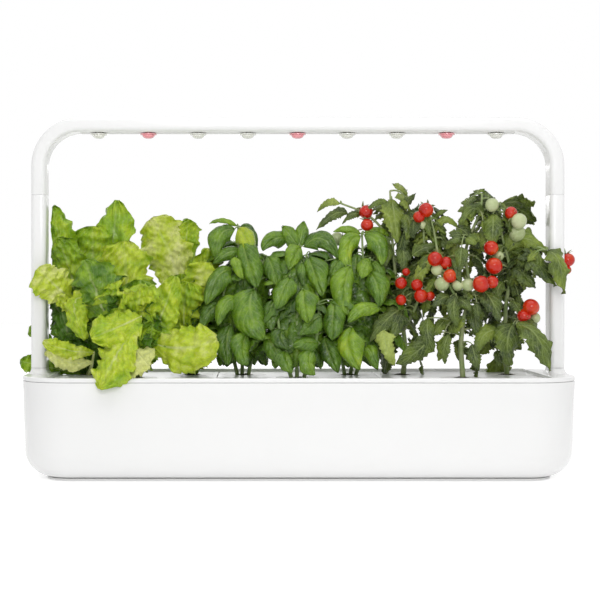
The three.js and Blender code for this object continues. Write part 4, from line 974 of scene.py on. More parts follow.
class LeafKind:
    """How one kind of leaf is shaped: outline, section, ruffles, quilting and thickness."""

    def __init__(self, outline, rows, columns, cupping, ruffle, waves_along, quilt, veins,
                 teeth=0.0, tooth_count=0, thickness=0.0005, bubble=0.0, jag=0.0, slant=0.35):
        self.outline, self.rows, self.columns = outline, rows, columns
        self.cupping, self.ruffle, self.waves_along = cupping, ruffle, waves_along
        self.quilt, self.veins, self.slant = quilt, veins, slant
        self.teeth, self.tooth_count, self.jag = teeth, tooth_count, jag
        self.thickness, self.bubble = thickness, bubble
        self.quads = shell_quads(rows, columns)

    def half_width(self, along, across, width, phase):
        """Half the leaf's width at each place, uneven, toothed and ragged at the edge."""
        reach = np.abs(across)
        uneven = 1 + waves(UNEVEN_WAVES, along, across, phase)
        if self.tooth_count:
            drift = TOOTH_DRIFT * np.sin(TOOTH_DRIFT_COUNT * along + phase[TOOTH_PHASE])
            saw = (along * self.tooth_count + drift) % 1
            uneven = uneven * (1 - self.teeth * saw * reach ** TOOTH_POWER)
        ragged = np.sin(SIDED_COUNT * along + phase[SIDED_PHASE] * np.sign(across)) \
            + waves(RAGGED_WAVES, along, across, phase)
        uneven = uneven * (1 + self.jag * ragged * reach ** RAGGED_POWER)
        return profile_at(self.outline, along) * width / 2 * uneven

    def section(self, along, across, width, length, phase):
        """How far each place lies to the side of the midrib, and how far over it."""
        reach = np.abs(across)
        half = self.half_width(along, across, width, phase)
        cupping = self.cupping * (CUPPING_AT_BASE + CUPPING_GROWTH * along)
        sideways = half * np.sin(cupping * across) / cupping
        lift = -half * (1 - np.cos(cupping * across)) / cupping
        swing = waves(RUFFLE_WAVES, self.waves_along * along * 2 * math.pi, across, phase)
        grown = np.clip(along * RUFFLE_ONSET, 0, 1) * width
        lift = lift + self.ruffle * grown * reach ** RUFFLE_POWER * swing
        sideways = sideways * (1 + WIDENING * self.ruffle * swing * reach ** WIDENING_POWER)
        slanted = self.veins * (along - self.slant * reach * width / length)
        rise = np.abs(np.sin(math.pi * slanted)) ** PILLOW_POWER
        lift = lift + self.quilt * width * (rise - PILLOW_LEVEL) \
            * np.minimum(reach * QUILT_SIDE_ONSET, 1) * (1 - reach ** QUILT_END_POWER) \
            * np.clip(along * QUILT_ONSET, 0, 1)
        groove = self.quilt * width * RIB_DEPTH * np.exp(-(reach * RIB_NARROWNESS) ** 2)
        return sideways, lift - groove

    def make(self, foliage, start, middle, end, width, facing, tint, draws):
        """Adds a leaf whose midrib starts, bends through the middle and ends at those places."""
        along = np.linspace(0, 1, self.rows)[:, None]
        across = np.linspace(-1, 1, self.columns)[None, :]
        midrib, tangent = curve_points(start, middle, end, self.rows)
        length = np.linalg.norm(np.diff(midrib, axis=0), axis=1).sum()
        side = unit(np.cross(tangent, facing))
        normal = unit(np.cross(side, tangent))
        turn = draws.uniform(-LEAF_TWIST, LEAF_TWIST) * along
        side, normal = (side * np.cos(turn) + normal * np.sin(turn),
                        normal * np.cos(turn) - side * np.sin(turn))
        phase = draws.uniform(0, 2 * math.pi, PHASES)
        sideways, lift = self.section(along, across, width, length, phase)
        if self.bubble:
            lift = lift + self.bubble * blisters(along * length, across * width / 2, draws) \
                * np.clip(along * BLISTER_ONSET - BLISTER_DELAY, 0, 1)
        points = beside_leg(midrib[:, None, :] + side[:, None, :] * sideways[..., None]
                            + normal[:, None, :] * lift[..., None])
        under = points - normal[:, None, :] * self.thickness
        shape = points.shape[:2]
        marks = np.stack([np.broadcast_to(along, shape), np.broadcast_to(np.abs(across), shape),
                          np.full(shape, tint)], axis=-1).reshape(-1, 3)
        foliage.add(np.concatenate([points.reshape(-1, 3), under.reshape(-1, 3)]), self.quads,
                    np.concatenate([marks, marks]))


def add_tube(foliage, points, radii, tint, sides):
    """A round stem along the points, its ends drawn in to close it."""
    tangents = unit(np.gradient(points, axis=0))
    side = unit(np.cross(tangents, STEM_LEAN))
    other = np.cross(tangents, side)
    angle = circle(sides)
    rings = points[:, None] + radii[:, None, None] * (
        side[:, None] * np.cos(angle)[:, None] + other[:, None] * np.sin(angle)[:, None])
    ends = [np.repeat(points[None, [place]], sides, axis=1) for place in (0, -1)]
    rings = np.concatenate([ends[0], rings, ends[1]])
    marks = np.tile([0.0, 0.0, tint], (rings.shape[0] * sides, 1))
    foliage.add(rings.reshape(-1, 3), grid_quads(len(rings), sides, closed=True), marks)


def add_stem(foliage, start, middle, end, radii, tint, count=9, sides=6):
    """A stem that tapers between two radii over the curve through three places."""
    points, _ = curve_points(start, middle, end, count)
    add_tube(foliage, points, np.linspace(*radii, count), tint, sides)


def add_stalk(stems, foot, start, radii, bow, count):
    """A thin leaf stalk from a stem to the leaf's base, bowed up a little."""
    add_stem(stems, foot, (foot + start) / 2 + bow * UP, start, radii, STALK_TINT, count)


def spline(points, count):
    """A smooth line through the points, evenly shared between them."""
    points = np.asarray(points, float)
    padded = np.concatenate([[2 * points[0] - points[1]], points, [2 * points[-1] - points[-2]]])
    places = np.linspace(0, len(points) - 1, count)
    spans = np.minimum(places.astype(int), len(points) - 2)
    share = (places - spans)[:, None]
    before, first, second, after = (padded[spans + step] for step in range(4))
    return (2 * first + (second - before) * share
            + (2 * before - 5 * first + 4 * second - after) * share ** 2
            + (3 * first - before - 3 * second + after) * share ** 3) / 2


# Outlines of leaves: place along the midrib, and share of the widest half
LETTUCE_OUTLINE = ((0, 0.16), (0.15, 0.2), (0.35, 0.42), (0.55, 0.8), (0.75, 1.0), (0.88, 0.92),
                   (0.96, 0.62), (1, 0.2))
ROUND_OUTLINE = ((0, 0.12), (0.1, 0.4), (0.3, 0.82), (0.55, 1.0), (0.8, 0.9), (0.93, 0.62),
                 (1, 0.22))
BASIL_OUTLINE = ((0, 0.06), (0.06, 0.5), (0.18, 0.86), (0.4, 1.0), (0.62, 0.96), (0.8, 0.76),
                 (0.93, 0.42), (1, 0.06))
TOMATO_OUTLINE = ((0, 0.04), (0.08, 0.55), (0.22, 1.0), (0.36, 1.0), (0.44, 0.84), (0.58, 0.92),
                  (0.72, 0.68), (0.86, 0.5), (1, 0.03))
# Kinds of leaf: outline, rows, columns, cupping, ruffle, waves along, quilt, side veins
LETTUCE_LEAF = LeafKind(LETTUCE_OUTLINE, 56, 33, 0.45, 0.14, 4.2, 0.014, 6, bubble=0.0024,
                        jag=0.09, slant=1.0)
ROUND_LEAF = LeafKind(ROUND_OUTLINE, 48, 33, 0.6, 0.1, 3.2, 0.016, 6, bubble=0.0022, jag=0.05,
                      slant=1.0)
BASIL_LEAF = LeafKind(BASIL_OUTLINE, 28, 19, 1.35, 0.03, 1.2, 0.05, 5, bubble=0.0007,
                      slant=0.75)
TOMATO_LEAF = LeafKind(TOMATO_OUTLINE, 30, 15, 0.7, 0.08, 1.8, 0.034, 6, teeth=0.3,
                       tooth_count=8, slant=0.8)

# Leaves seen in the photograph: pod, then base, middle and tip at pixels, width in pixels,
# depth of base and tip in millimetres behind the middle, and tint from dark to pale: partly the
# leaf's own colour, partly painted shade and light.
# A base of None grows from the pod's crown.
LETTUCE_LEAVES = (
    (1, None, (68, 275), (50, 206), 36, 28, 22, 0.42),
    (1, None, (74, 290), (57, 238), 38, 28, 6, 0.36),
    (1, None, (92, 285), (92, 226), 46, 28, 12, 0.36),
    (1, None, (106, 285), (117, 200), 37, 28, 16, 0.42),
    (1, None, (64, 325), (52, 294), 38, 28, 2, -0.1),
    (1, None, (72, 345), (62, 312), 44, 28, -8, -0.1),
    (1, (72, 300), (56, 286), (38, 268), 40, -10, -34, 0.78),
    (1, (74, 318), (66, 306), (56, 296), 17, -6, -26, 0.62),
    (2, (108, 322), (98, 298), (84, 260), 54, -30, -52, 0.12),
    (2, (92, 298), (74, 304), (85, 340), 28, -28, -46, 0.6),
    (1, (94, 352), (68, 350), (43, 341), 19, -36, -50, 0.72),
    (1, (92, 362), (68, 362), (46, 351), 20, -34, -46, 1.5),
    (1, None, (52, 368), (20, 361), 22, 28, 22, 0.4),
    (1, None, (54, 350), (30, 326), 16, 28, 40, 0.3),
    (2, None, (128, 300), (124, 241), 52, -28, -16, 0.66),
    (2, None, (112, 300), (100, 262), 40, -28, -22, 0.5),
    (2, (134, 330), (117, 354), (99, 389), 44, -74, -100, 0.66),
    (1, None, (84, 300), (80, 240), 40, 28, 24, 0.2),
    (2, (141, 316), (120, 326), (91, 338), 42, -68, -92, 0.56),
    (2, None, (132, 340), (146, 308), 34, -28, -62, 0.58),
    (2, (154, 349), (140, 358), (120, 374), 30, -62, -90, 1.6),
    (2, (146, 340), (180, 348), (217, 339), 50, -42, -70, 0.7),
    (2, (148, 332), (160, 318), (175, 276), 36, -40, -52, 0.56),
    (2, None, (138, 320), (130, 282), 36, -28, -34, 0.2),
    (3, None, (178, 278), (150, 219), 52, 28, 20, 0.82),
    (3, None, (186, 268), (189, 219), 27, 28, 26, 0.46),
    (3, None, (202, 305), (208, 248), 34, 28, 14, 0.6),
    (3, None, (196, 315), (206, 262), 42, 28, -12, 0.7),
    (3, None, (184, 325), (188, 282), 36, 28, -24, 0.5),
    (2, None, (160, 340), (168, 300), 34, -28, -20, 0.3),
)
BASIL_LEAVES = (
    (4, (237, 226), (223, 219), (209, 224), 7, 8, 0, 0.7),
    (4, (240, 227), (251, 229), (258, 246), 14, 10, 4, 0.15),
    (4, (235, 229), (221, 234), (216, 259), 25, 2, -8, 0.34),
    (4, (238, 228), (244, 236), (250, 254), 23, 0, -12, 0.86),
    (4, (242, 242), (247, 262), (257, 288), 30, -8, -22, 0.36),
    (4, (240, 251), (227, 253), (213, 264), 15, -4, -12, 0.3),
    (4, (236, 257), (239, 264), (243, 279), 15, -14, -22, 0.62),
    (4, (233, 270), (218, 275), (206, 305), 29, -10, -30, 0.42),
    (4, (221, 305), (210, 311), (202, 328), 20, -20, -34, 0.22),
    (4, (237, 299), (226, 303), (218, 326), 21, -24, -38, 0.55),
    (4, (254, 289), (251, 312), (264, 340), 41, -26, -48, 0.4),
    (4, (231, 325), (227, 343), (229, 365), 25, -26, -42, 0.24),
    (4, (248, 333), (244, 348), (248, 365), 25, -34, -50, 0.34),
    (4, (264, 336), (273, 345), (282, 364), 29, -30, -46, 0.3),
    (4, (267, 256), (272, 268), (278, 286), 25, -10, -22, 0.32),
    (5, (290, 238), (275, 239), (263, 251), 20, 0, -10, 0.34),
    (5, (298, 246), (289, 234), (282, 226), 19, -8, -2, 0.4),
    (5, (299, 246), (302, 233), (304, 221), 19, -6, 4, 0.44),
    (5, (301, 247), (297, 254), (289, 270), 23, -12, -26, 0.56),
    (5, (304, 247), (321, 238), (338, 259), 24, -8, -14, 0.26),
    (5, (308, 257), (313, 272), (322, 296), 28, -18, -36, 0.36),
    (5, (342, 258), (333, 266), (328, 286), 19, -10, -22, 0.3),
    (5, (290, 277), (283, 287), (276, 310), 27, -30, -48, 0.38),
    (5, (303, 289), (303, 303), (308, 323), 29, -40, -58, 0.44),
    (5, (321, 315), (311, 321), (300, 335), 23, -44, -56, 0.28),
    (5, (302, 263), (303, 272), (303, 286), 12, -20, -28, 0.22),
    (5, (334, 300), (332, 318), (332, 340), 28, -30, -50, 0.34),
    (5, (274, 300), (270, 312), (272, 331), 22, -28, -40, 0.22),
    (5, (286, 351), (288, 360), (292, 373), 22, -46, -62, 0.3),
    (5, (313, 350), (310, 360), (315, 375), 24, -52, -66, 0.46),
    (5, (319, 343), (307, 341), (293, 347), 20, -46, -60, 0.34),
    (5, (284, 330), (282, 338), (290, 350), 20, -38, -48, 0.14),
    (6, (361, 236), (350, 246), (352, 272), 22, -2, -16, 0.6),
    (6, (364, 235), (377, 242), (382, 266), 23, -2, -14, 0.4),
    (6, (361, 234), (348, 228), (333, 232), 9, 4, 0, 0.6),
    (6, (364, 233), (377, 230), (390, 237), 9, 4, 8, 0.66),
    (6, (370, 259), (364, 265), (362, 279), 20, -14, -26, 0.56),
    (6, (373, 261), (380, 272), (385, 292), 16, -6, -16, 0.34),
    (6, (369, 272), (376, 284), (379, 307), 26, -16, -30, 0.36),
    (6, (351, 266), (346, 288), (349, 316), 27, -22, -38, 0.5),
    (6, (352, 327), (346, 344), (360, 370), 34, -40, -58, 0.62),
    (6, (381, 309), (364, 308), (348, 323), 18, -28, -44, 0.6),
    (6, (324, 337), (328, 353), (338, 373), 23, -34, -46, 0.16),
    (6, (366, 346), (371, 353), (378, 370), 18, -30, -40, 0.5),
    (6, (336, 258), (338, 272), (342, 292), 20, -8, -20, 0.24),
)
TOMATO_LEAVES = (
    (7, (392, 199), (395, 218), (397, 243), 30, 6, -8, 0.55),
    (7, (396, 205), (406, 203), (416, 193), 12, 10, 6, 0.1),
    (7, (388, 202), (378, 202), (366, 211), 10, 8, 4, 0.4),
    (7, (404, 214), (410, 224), (406, 240), 20, 0, -10, 0.3),
    (7, (384, 240), (388, 252), (384, 268), 18, 4, -8, 0.2),
    (7, (400, 244), (404, 255), (402, 270), 22, 0, -14, 0.12),
    (7, (414, 278), (422, 270), (432, 256), 18, -16, -22, 0.85),
    (7, (412, 256), (424, 248), (438, 246), 17, -8, -10, 0.3),
    (7, (404, 308), (388, 318), (370, 342), 28, -12, -34, 0.08),
    (7, (400, 312), (398, 324), (390, 340), 22, -18, -30, 0.14),
    (7, (384, 330), (386, 345), (395, 366), 23, -34, -44, 0.95),
    (8, (432, 334), (419, 350), (396, 364), 29, -26, -50, 0.18),
    (8, (428, 318), (428, 334), (434, 352), 22, -28, -36, 0.22),
    (7, (390, 283), (378, 290), (372, 304), 17, 0, -12, 0.1),
    (7, (362, 215), (352, 214), (342, 224), 11, 16, 10, 0.2),
    (7, (348, 214), (334, 214), (316, 230), 14, 18, 8, 0.2),
    (7, (340, 204), (330, 202), (317, 212), 11, 20, 16, 0.75),
    (8, (434, 219), (440, 212), (448, 210), 8, 2, 0, 0.3),
    (8, (427, 214), (427, 224), (431, 237), 12, -4, -12, 0.25),
    (8, (434, 234), (444, 219), (459, 229), 12, -2, -6, 0.6),
    (8, (456, 228), (466, 232), (479, 249), 26, -8, -18, 0.06),
    (8, (484, 214), (472, 209), (458, 226), 14, -10, -18, 0.3),
    (8, (466, 244), (455, 240), (446, 250), 15, -14, -18, 0.5),
    (8, (458, 256), (458, 268), (461, 283), 14, -34, -42, 0.12),
    (8, (450, 297), (442, 298), (433, 308), 18, -36, -46, 0.16),
    (8, (456, 296), (454, 310), (457, 327), 18, -44, -52, 0.14),
    (8, (457, 299), (464, 302), (472, 312), 15, -36, -46, 0.2),
    (8, (484, 290), (494, 304), (499, 322), 27, -30, -44, 0.06),
    (8, (480, 304), (476, 320), (482, 338), 22, -30, -40, 0.12),
    (8, (446, 318), (438, 328), (432, 336), 16, -24, -32, 0.3),
    (8, (449, 334), (444, 348), (445, 364), 16, -46, -54, 0.34),
    (8, (472, 344), (475, 356), (479, 371), 18, -44, -54, 0.2),
    (8, (498, 330), (484, 335), (477, 354), 23, -34, -50, 0.45),
    (8, (440, 270), (426, 262), (420, 272), 18, -18, -20, 0.22),
    (9, (493, 214), (493, 228), (492, 245), 29, -18, -28, 0.34),
    (9, (502, 215), (514, 221), (521, 239), 14, -10, -14, 0.36),
    (9, (508, 252), (526, 238), (548, 254), 36, -8, -16, 0.5),
    (9, (520, 258), (538, 262), (556, 286), 36, -16, -32, 0.14),
    (9, (548, 250), (560, 262), (564, 294), 34, -22, -40, 0.46),
    (9, (516, 266), (524, 274), (536, 288), 25, -14, -26, 0.08),
    (9, (503, 246), (494, 250), (484, 252), 14, -4, -6, 0.5),
    (9, (514, 300), (517, 306), (524, 315), 15, -16, -24, 0.08),
    (9, (497, 350), (499, 357), (500, 367), 14, -26, -32, 0.12),
    (9, (513, 324), (508, 342), (510, 366), 36, -32, -48, 0.22),
    (9, (516, 324), (537, 335), (550, 371), 38, -36, -62, 0.28),
    (9, (504, 282), (498, 290), (500, 304), 17, -10, -20, 0.3),
)
# Main stems: pod, then points at pixels with their depth in millimetres
BASIL_STEMS = (
    (4, (242, 377, 27), (243, 330, 10), (240, 280, 2), (238, 226, 4)),
    (4, (248, 377, 26), (256, 330, 0), (256, 285, -8), (266, 255, 2)),
    (4, (238, 377, 25), (228, 335, 0), (222, 303, -8), (232, 268, 0)),
    (5, (297, 380, -29), (297, 330, -34), (300, 280, -20), (300, 245, -6)),
    (5, (303, 380, -30), (316, 340, -36), (318, 300, -26), (306, 256, -12)),
    (5, (292, 380, -30), (282, 345, -38), (278, 305, -28), (290, 275, -22)),
    (6, (350, 377, 27), (357, 330, 0), (363, 280, 0), (362, 233, 2)),
    (6, (345, 377, 26), (338, 335, -14), (334, 300, -16), (342, 257, -2)),
    (6, (355, 377, 26), (366, 342, -6), (372, 300, -8), (370, 257, -6)),
)
TOMATO_STEMS = (
    (7, (403, 377, 27), (405, 345, 18), (399, 300, 6), (393, 250, 6), (390, 191, 8)),
    (7, (404, 330, 12), (418, 300, -8), (424, 262, -4), (424, 226, -4), (430, 206, -2)),
    (7, (396, 262, 6), (384, 232, 10), (366, 214, 14), (340, 203, 20)),
    (8, (463, 380, -28), (461, 345, -28), (464, 318, -26), (470, 292, -22), (466, 250, -10),
     (480, 212, -10), (482, 194, -10)),
    (8, (465, 308, -26), (452, 290, -28), (440, 262, -22), (434, 232, -6), (428, 210, -4)),
    (8, (468, 296, -24), (484, 286, -24), (496, 282, -22)),
    (9, (507, 377, 27), (505, 342, 12), (506, 306, 0), (510, 272, -4), (502, 236, -8),
     (496, 212, -12)),
    (9, (508, 290, -2), (522, 262, -8), (536, 248, -18), (546, 250, -22)),
    (9, (505, 340, 12), (512, 326, -10), (522, 322, -24)),
    (9, (509, 282, -2), (526, 262, 16), (546, 250, 25), (562, 249, 24)),
)
# Fruit: pod, pixel, diameter in pixels, depth in millimetres, ripe
FRUIT = (
    (7, (366, 212), 14, 10, True), (7, (367, 225), 13, 6, True), (7, (337, 239), 14, 16, False),
    (7, (401, 283), 12, -20, True), (7, (417, 285), 12, -22, True),
    (7, (401, 300), 11, -20, True), (7, (421, 296), 14, -26, True),
    (7, (430, 296), 10, -24, True), (7, (406, 272), 8, -14, True),
    (8, (426, 210), 15, -12, True), (8, (419, 217), 12, -10, True),
    (8, (422, 225), 9, -8, False), (8, (435, 259), 15, -34, True),
    (8, (446, 263), 13, -30, True), (8, (437, 270), 12, -30, False),
    (8, (450, 276), 14, -38, True), (8, (442, 284), 15, -32, False),
    (8, (458, 285), 12, -36, False), (8, (468, 285), 13, -36, False),
    (8, (481, 284), 17, -46, True), (8, (492, 282), 13, -38, True),
    (9, (491, 248), 15, -28, True), (9, (494, 266), 17, -34, True),
    (9, (499, 256), 10, -22, False), (9, (492, 205), 14, -18, False),
    (9, (511, 213), 13, -20, True), (9, (519, 221), 16, -26, False),
    (9, (517, 233), 17, -14, False), (9, (531, 307), 17, -30, True),
    (9, (524, 316), 14, -28, True), (9, (535, 318), 11, -22, False),
    (9, (568, 260), 14, 18, True), (9, (567, 270), 9, 18, True),
)


def leaf_material(name, tones, rib, veins, gloss, rib_share, vein_share, glow, mottle, puff,
                  shine, slant):
    """Leaf tissue: tones by tint and mottling, pale ribs and veins, and soft light through it."""
    finish = Finish(name, Coat_Weight=shine, Coat_Roughness=0.16, Specular_IOR_Level=0.3)
    mark = finish.node("ShaderNodeAttribute", attribute_name="leaf").outputs["Color"]
    parts = finish.node("ShaderNodeSeparateColor", {"Color": mark})
    along, across, tint = (parts.outputs[part] for part in ("Red", "Green", "Blue"))
    cloud = finish.noise(55, 4, 0.6)
    grain = finish.noise(420, 3, 0.6)
    # The tint carries painted shade and light as well as each leaf's own colour.
    mixed = finish.math("ADD", tint, finish.span(cloud, 0.2, 0.8, -mottle, mottle, smooth=False))
    tone = finish.ramp(mixed, list(zip((0.0, 0.35, 0.7, 1.0), tones)))
    wave = finish.math("FRACT", finish.math("SUBTRACT", finish.math("MULTIPLY", along, veins),
                                            finish.math("MULTIPLY", across, slant)))
    line = finish.span(finish.math("ABSOLUTE", finish.math("SUBTRACT", wave, 0.5)), 0.36, 0.5)
    fine = finish.node("ShaderNodeTexVoronoi", {"Vector": finish.places(), "Scale": 260.0},
                       feature="DISTANCE_TO_EDGE").outputs["Distance"]
    net = finish.span(fine, 0.0, 0.12, 1.0, 0.0)
    vein = finish.math("MAXIMUM", finish.math("MULTIPLY", line, vein_share),
                       finish.math("MULTIPLY", net, vein_share * 0.45))
    spine = finish.math("MULTIPLY", finish.span(across, 0.015, 0.09, 1.0, 0.0), rib_share)
    spine = finish.math("MULTIPLY", spine, finish.span(along, 0.35, 0.95, 1.0, 0.25))
    colour = finish.blend(finish.math("MAXIMUM", vein, spine), tone, rib)
    colour = finish.blend(finish.span(grain, 0.35, 0.75, 0.0, 0.22), colour,
                          shaded(tones[0], 0.62))
    finish.feed("Base Color", colour)
    finish.feed("Roughness", finish.span(grain, *MID_NOISE, gloss * 0.85, gloss * 1.2))
    blister = finish.math("MULTIPLY", finish.noise(150, 2, 0.4), puff)
    relief = finish.math("ADD", blister, finish.math("MULTIPLY", grain, 0.5))
    finish.bump(finish.math("SUBTRACT", relief, finish.math("MAXIMUM", line, net)), 0.5,
                LEAF_RELIEF)
    through = finish.node("ShaderNodeBsdfTranslucent", {"Color": colour})
    finish.surface(finish.node("ShaderNodeMixShader", {
        0: glow, 1: finish.shader.outputs[0], 2: through.outputs[0]}))
    return finish.material


# Tones from dark to pale, colour of the ribs, side veins, gloss, and how much ribs, veins and
# the light that passes through count
LETTUCE_TISSUE = leaf_material(
    "lettuce_tissue", ((0.1, 0.25, 0.01), (0.36, 0.59, 0.014), (0.69, 0.83, 0.038),
                       (0.92, 0.95, 0.36)), (0.9, 0.94, 0.5), 6, 0.34, 0.6, 0.12, 0.22,
    mottle=0.42, puff=5.0, shine=0.3, slant=5.0)
BASIL_TISSUE = leaf_material(
    "basil_tissue", ((0.033, 0.095, 0.008), (0.115, 0.25, 0.012), (0.28, 0.47, 0.02),
                     (0.55, 0.66, 0.03)), (0.46, 0.62, 0.14), 5, 0.26, 0.4, 0.3, 0.16,
    mottle=0.36, puff=2.0, shine=0.35, slant=3.0)
TOMATO_TISSUE = leaf_material(
    "tomato_tissue", ((0.04, 0.07, 0.012), (0.13, 0.195, 0.02), (0.28, 0.37, 0.045),
                      (0.5, 0.6, 0.13)), (0.42, 0.52, 0.18), 6, 0.42, 0.6, 0.4, 0.16,
    mottle=0.5, puff=2.5, shine=0.2, slant=3.0)


def hairy_stem(name, colour, patch):
    finish = Finish(name)
    cloud = finish.noise(90, 4, 0.6)
    finish.feed("Base Color", finish.ramp(cloud, [(0.35, colour), (0.65, patch)]))
    finish.feed("Roughness", finish.span(cloud, *MID_NOISE, 0.42, 0.62))
    finish.bump(finish.noise(900, 2), 0.3, STEM_HAIRS)
    return finish.material


STEM_OF_KIND = {
    "basil": hairy_stem("basil_stem", (0.2, 0.32, 0.08), (0.3, 0.38, 0.16)),
    "tomato": hairy_stem("tomato_stem", (0.2, 0.3, 0.08), (0.34, 0.38, 0.18)),
}


def fruit_skin(name, colours, gloss):
    finish = Finish(name, Coat_Weight=0.45, Coat_Roughness=0.05, Specular_IOR_Level=0.2)
    cloud = finish.noise(70, 3, 0.5)
    finish.feed("Base Color", finish.ramp(cloud, list(zip((0.3, 0.5, 0.72), colours))))
    finish.feed("Roughness", finish.span(finish.noise(500, 2), *MID_NOISE, gloss * 0.8,
                                         gloss * 1.2))
    finish.bump(finish.noise(160, 3), 0.06, FRUIT_RELIEF)
    return finish.material


RIPE = fruit_skin("tomato_ripe", ((0.42, 0.008, 0.002), (0.58, 0.016, 0.003),
                                  (0.66, 0.07, 0.004)), 0.2)
UNRIPE = fruit_skin("tomato_unripe", ((0.38, 0.46, 0.2), (0.5, 0.57, 0.3), (0.58, 0.62, 0.36)),
                    0.3)


def soil_material():
    finish = Finish("soil")
    crumbs = finish.noise(450, 5, 0.7)
    finish.feed("Base Color", finish.ramp(crumbs, [(0.35, (0.012, 0.008, 0.005)),
                                                   (0.6, (0.06, 0.036, 0.02)),
                                                   (0.75, (0.2, 0.15, 0.1))]))
    finish.feed("Roughness", finish.span(crumbs, *MID_NOISE, 0.85, 1.0))
    finish.bump(crumbs, 0.9, SOIL_RELIEF)
    return finish.material


SOIL = soil_material()


# Seeds of the random draws, one per kind, to which the pod's number is added
LETTUCE_SEED, BASIL_SEED, TOMATO_SEED, SOIL_SEED = 100, 200, 300, 700

# Soil in the cup's opening
SOIL_RINGS = 9
SOIL_SIDES = 40
SOIL_HEAP = 0.0022
SOIL_DEPTH = 0.02
SOIL_CRUMBS = 0.0006

# How deep the crowns sit under the trays' top, and how far, in millimetres, a leaf bends
# towards the camera
LETTUCE_CROWN = -0.001
STEM_CROWN = -0.002
BEND_FORWARD = 3

# Leaves all round a plant: how far they reach along and across the tank, and how much further
# towards its open long side
LEAF_REACH_ALONG = 0.027
LEAF_REACH_ACROSS = 0.040
LEAF_OPEN_SHIFT = 0.012
GOLDEN_TURN = math.pi * (3 - math.sqrt(5))

# Lettuce: a ring of leaves on the open side, and whorls of count, reach, height and width
LETTUCE_TILT = (0.5, 0.25)
LETTUCE_STALK_BOW = np.array([0, 0.006, -0.004])
RING_COUNTS = (5, 4, 6)
RING_HEIGHTS = (0.062, 0.104)
RING_WIDTH = 0.046
RING_BOW = 0.014
RING_LEAN = 0.6
RING_TINTS = (0.2, 0.6)
WHORLS = ((8, 0.040, 0.058, 0.042), (8, 0.034, 0.088, 0.042), (6, 0.022, 0.106, 0.04))
WHORL_ALONG_SHARE = 0.7
WHORL_SCATTER = 0.2
WHORL_SIZES = (0.85, 1.1)
WHORL_BEND_SHARES = (0.72, 0.55)
WHORL_FACING = (0.8, 0.5)
WHORL_WIDTHS = (0.85, 1.15)
WHORL_TINTS = (-0.2, 0.45)

# Basil: leaves that hang round the stems in a spiral, and pairs of leaves on each stem
BASIL_TILT = (0.7, 0.45)
BASIL_GROWTH = 1.2
BASIL_STALK_BOW = 0.002
BASIL_FOOT_SPREAD = np.array([0.6, 0.6, 0])
BASIL_STEM_TINT = 0.4
FILL_COUNT = 60
FILL_REACH = 0.024
FILL_FRONT_SHARE = 0.6
FILL_LOW = 0.034
FILL_HEIGHT = 0.108
FILL_BACK = 0.010
FILL_STEP_SHARE = 0.55
FILL_LENGTHS = (0.036, 0.048)
FILL_DROP = 0.85
FILL_TIP_CLEARANCE = 0.010
FILL_BEND_SHARE = 0.35
FILL_WIDTHS = (0.8, 0.95)
FILL_FACING = np.array([0, -0.25, 0.35])
FILL_TINTS = (0.05, 0.5)
PAIR_PLACES = range(17, 57, 5)
PAIR_TURNED_FRONT = -0.2
PAIR_LENGTHS = (0.03, 0.046)
PAIR_STALK = (0.009, 0.003)
PAIR_BEND = (0.55, 0.002)
PAIR_TIP = (0.85, 0.5)
PAIR_WIDTH = 0.72
PAIR_FACING = 0.5
PAIR_TINTS = (0.1, 0.45)

# Tomato plants: leaves in a spiral up the main stem, and sprays of leaves on two stems
TOMATO_TILT = (0.6, 0.35)
TOMATO_STALK_BOW = 0.003
FRUIT_ANCHOR_RISE = 0.012
TOMATO_HEIGHT = 0.213
TOMATO_LEAF_SHARES = (0.16, 0.3, 0.44, 0.58, 0.72, 0.86)
TOMATO_LEAF_DROP = 0.022
TOMATO_END = 0.25
FRUIT_SHARE = 0.4
SHORT_LEAF_SHARE = 0.55
TOMATO_FACING = np.array([0, -0.3, 0.7])
TOMATO_TINTS = (0.15, 0.6)
SPRAY_PLACES = range(17, 60, 3)
SPRAY_SPREAD = 0.8
SPRAY_LENGTHS = (0.03, 0.044)
SPRAY_DROP = 0.6
SPRAY_LEAN = 0.5
SPRAY_FACING = np.array([0, -0.6, 0.5])
SPRAY_TINTS = (-0.25, 0.85)

# A tomato leaf: its bow and drawn-in end, its pairs' places, sizes and spread, and its end leaf
COMPOUND_BOW = 0.24
COMPOUND_END_SHARE = 0.8
COMPOUND_POINTS = 25
PAIRS = 3
PAIRS_FROM, PAIRS_SPAN = 0.3, 0.55
LEAFLET_SIZE, LEAFLET_SHRINK = 0.46, 0.04
LEAFLET_SIZES = (0.85, 1.15)
LEAFLET_OFFSET = 0.003
LEAFLET_REACH = (0.9, 0.45)
LEAFLET_DROPS = (0.1, 0.5)
LEAFLET_ARCH, LEAFLET_WIDTH, LEAFLET_TINT_SPREAD = 0.12, 0.9, 0.1
END_SIZE, END_DROP, END_ARCH, END_WIDTH = 0.55, 0.3, 0.1, 0.95

# A fruit as shares of its radius: dimple and ribs, then its sepals and stalk
FRUIT_RINGS, FRUIT_SIDES = 17, 24
FRUIT_LEAN = np.array([0.2, 1.0, 0.1])
DIMPLE_DEPTH, DIMPLE_TURN = 0.16, 0.28
RIB_SHARE, RIB_COUNT = 0.015, 5
FRUIT_HEIGHT = 0.96
CALYX_HEIGHT = 0.82
SEPALS = 5
SEPAL_SCATTER = 0.15
SEPAL_REACH = 1.2
SEPAL_TIPS = (-0.1, 0.5)
SEPAL_BEND = (0.6, 0.22)
SEPAL_WIDTH = 0.42
FRUIT_STALK_BOW = 0.004
FRUIT_STALK_TINT = 0.6
SEPAL = LeafKind(((0, 0.5), (0.3, 1.0), (0.7, 0.6), (1, 0.03)), 8, 5, 0.5, 0.0, 1, 0.0, 2,
                 thickness=0.0003)


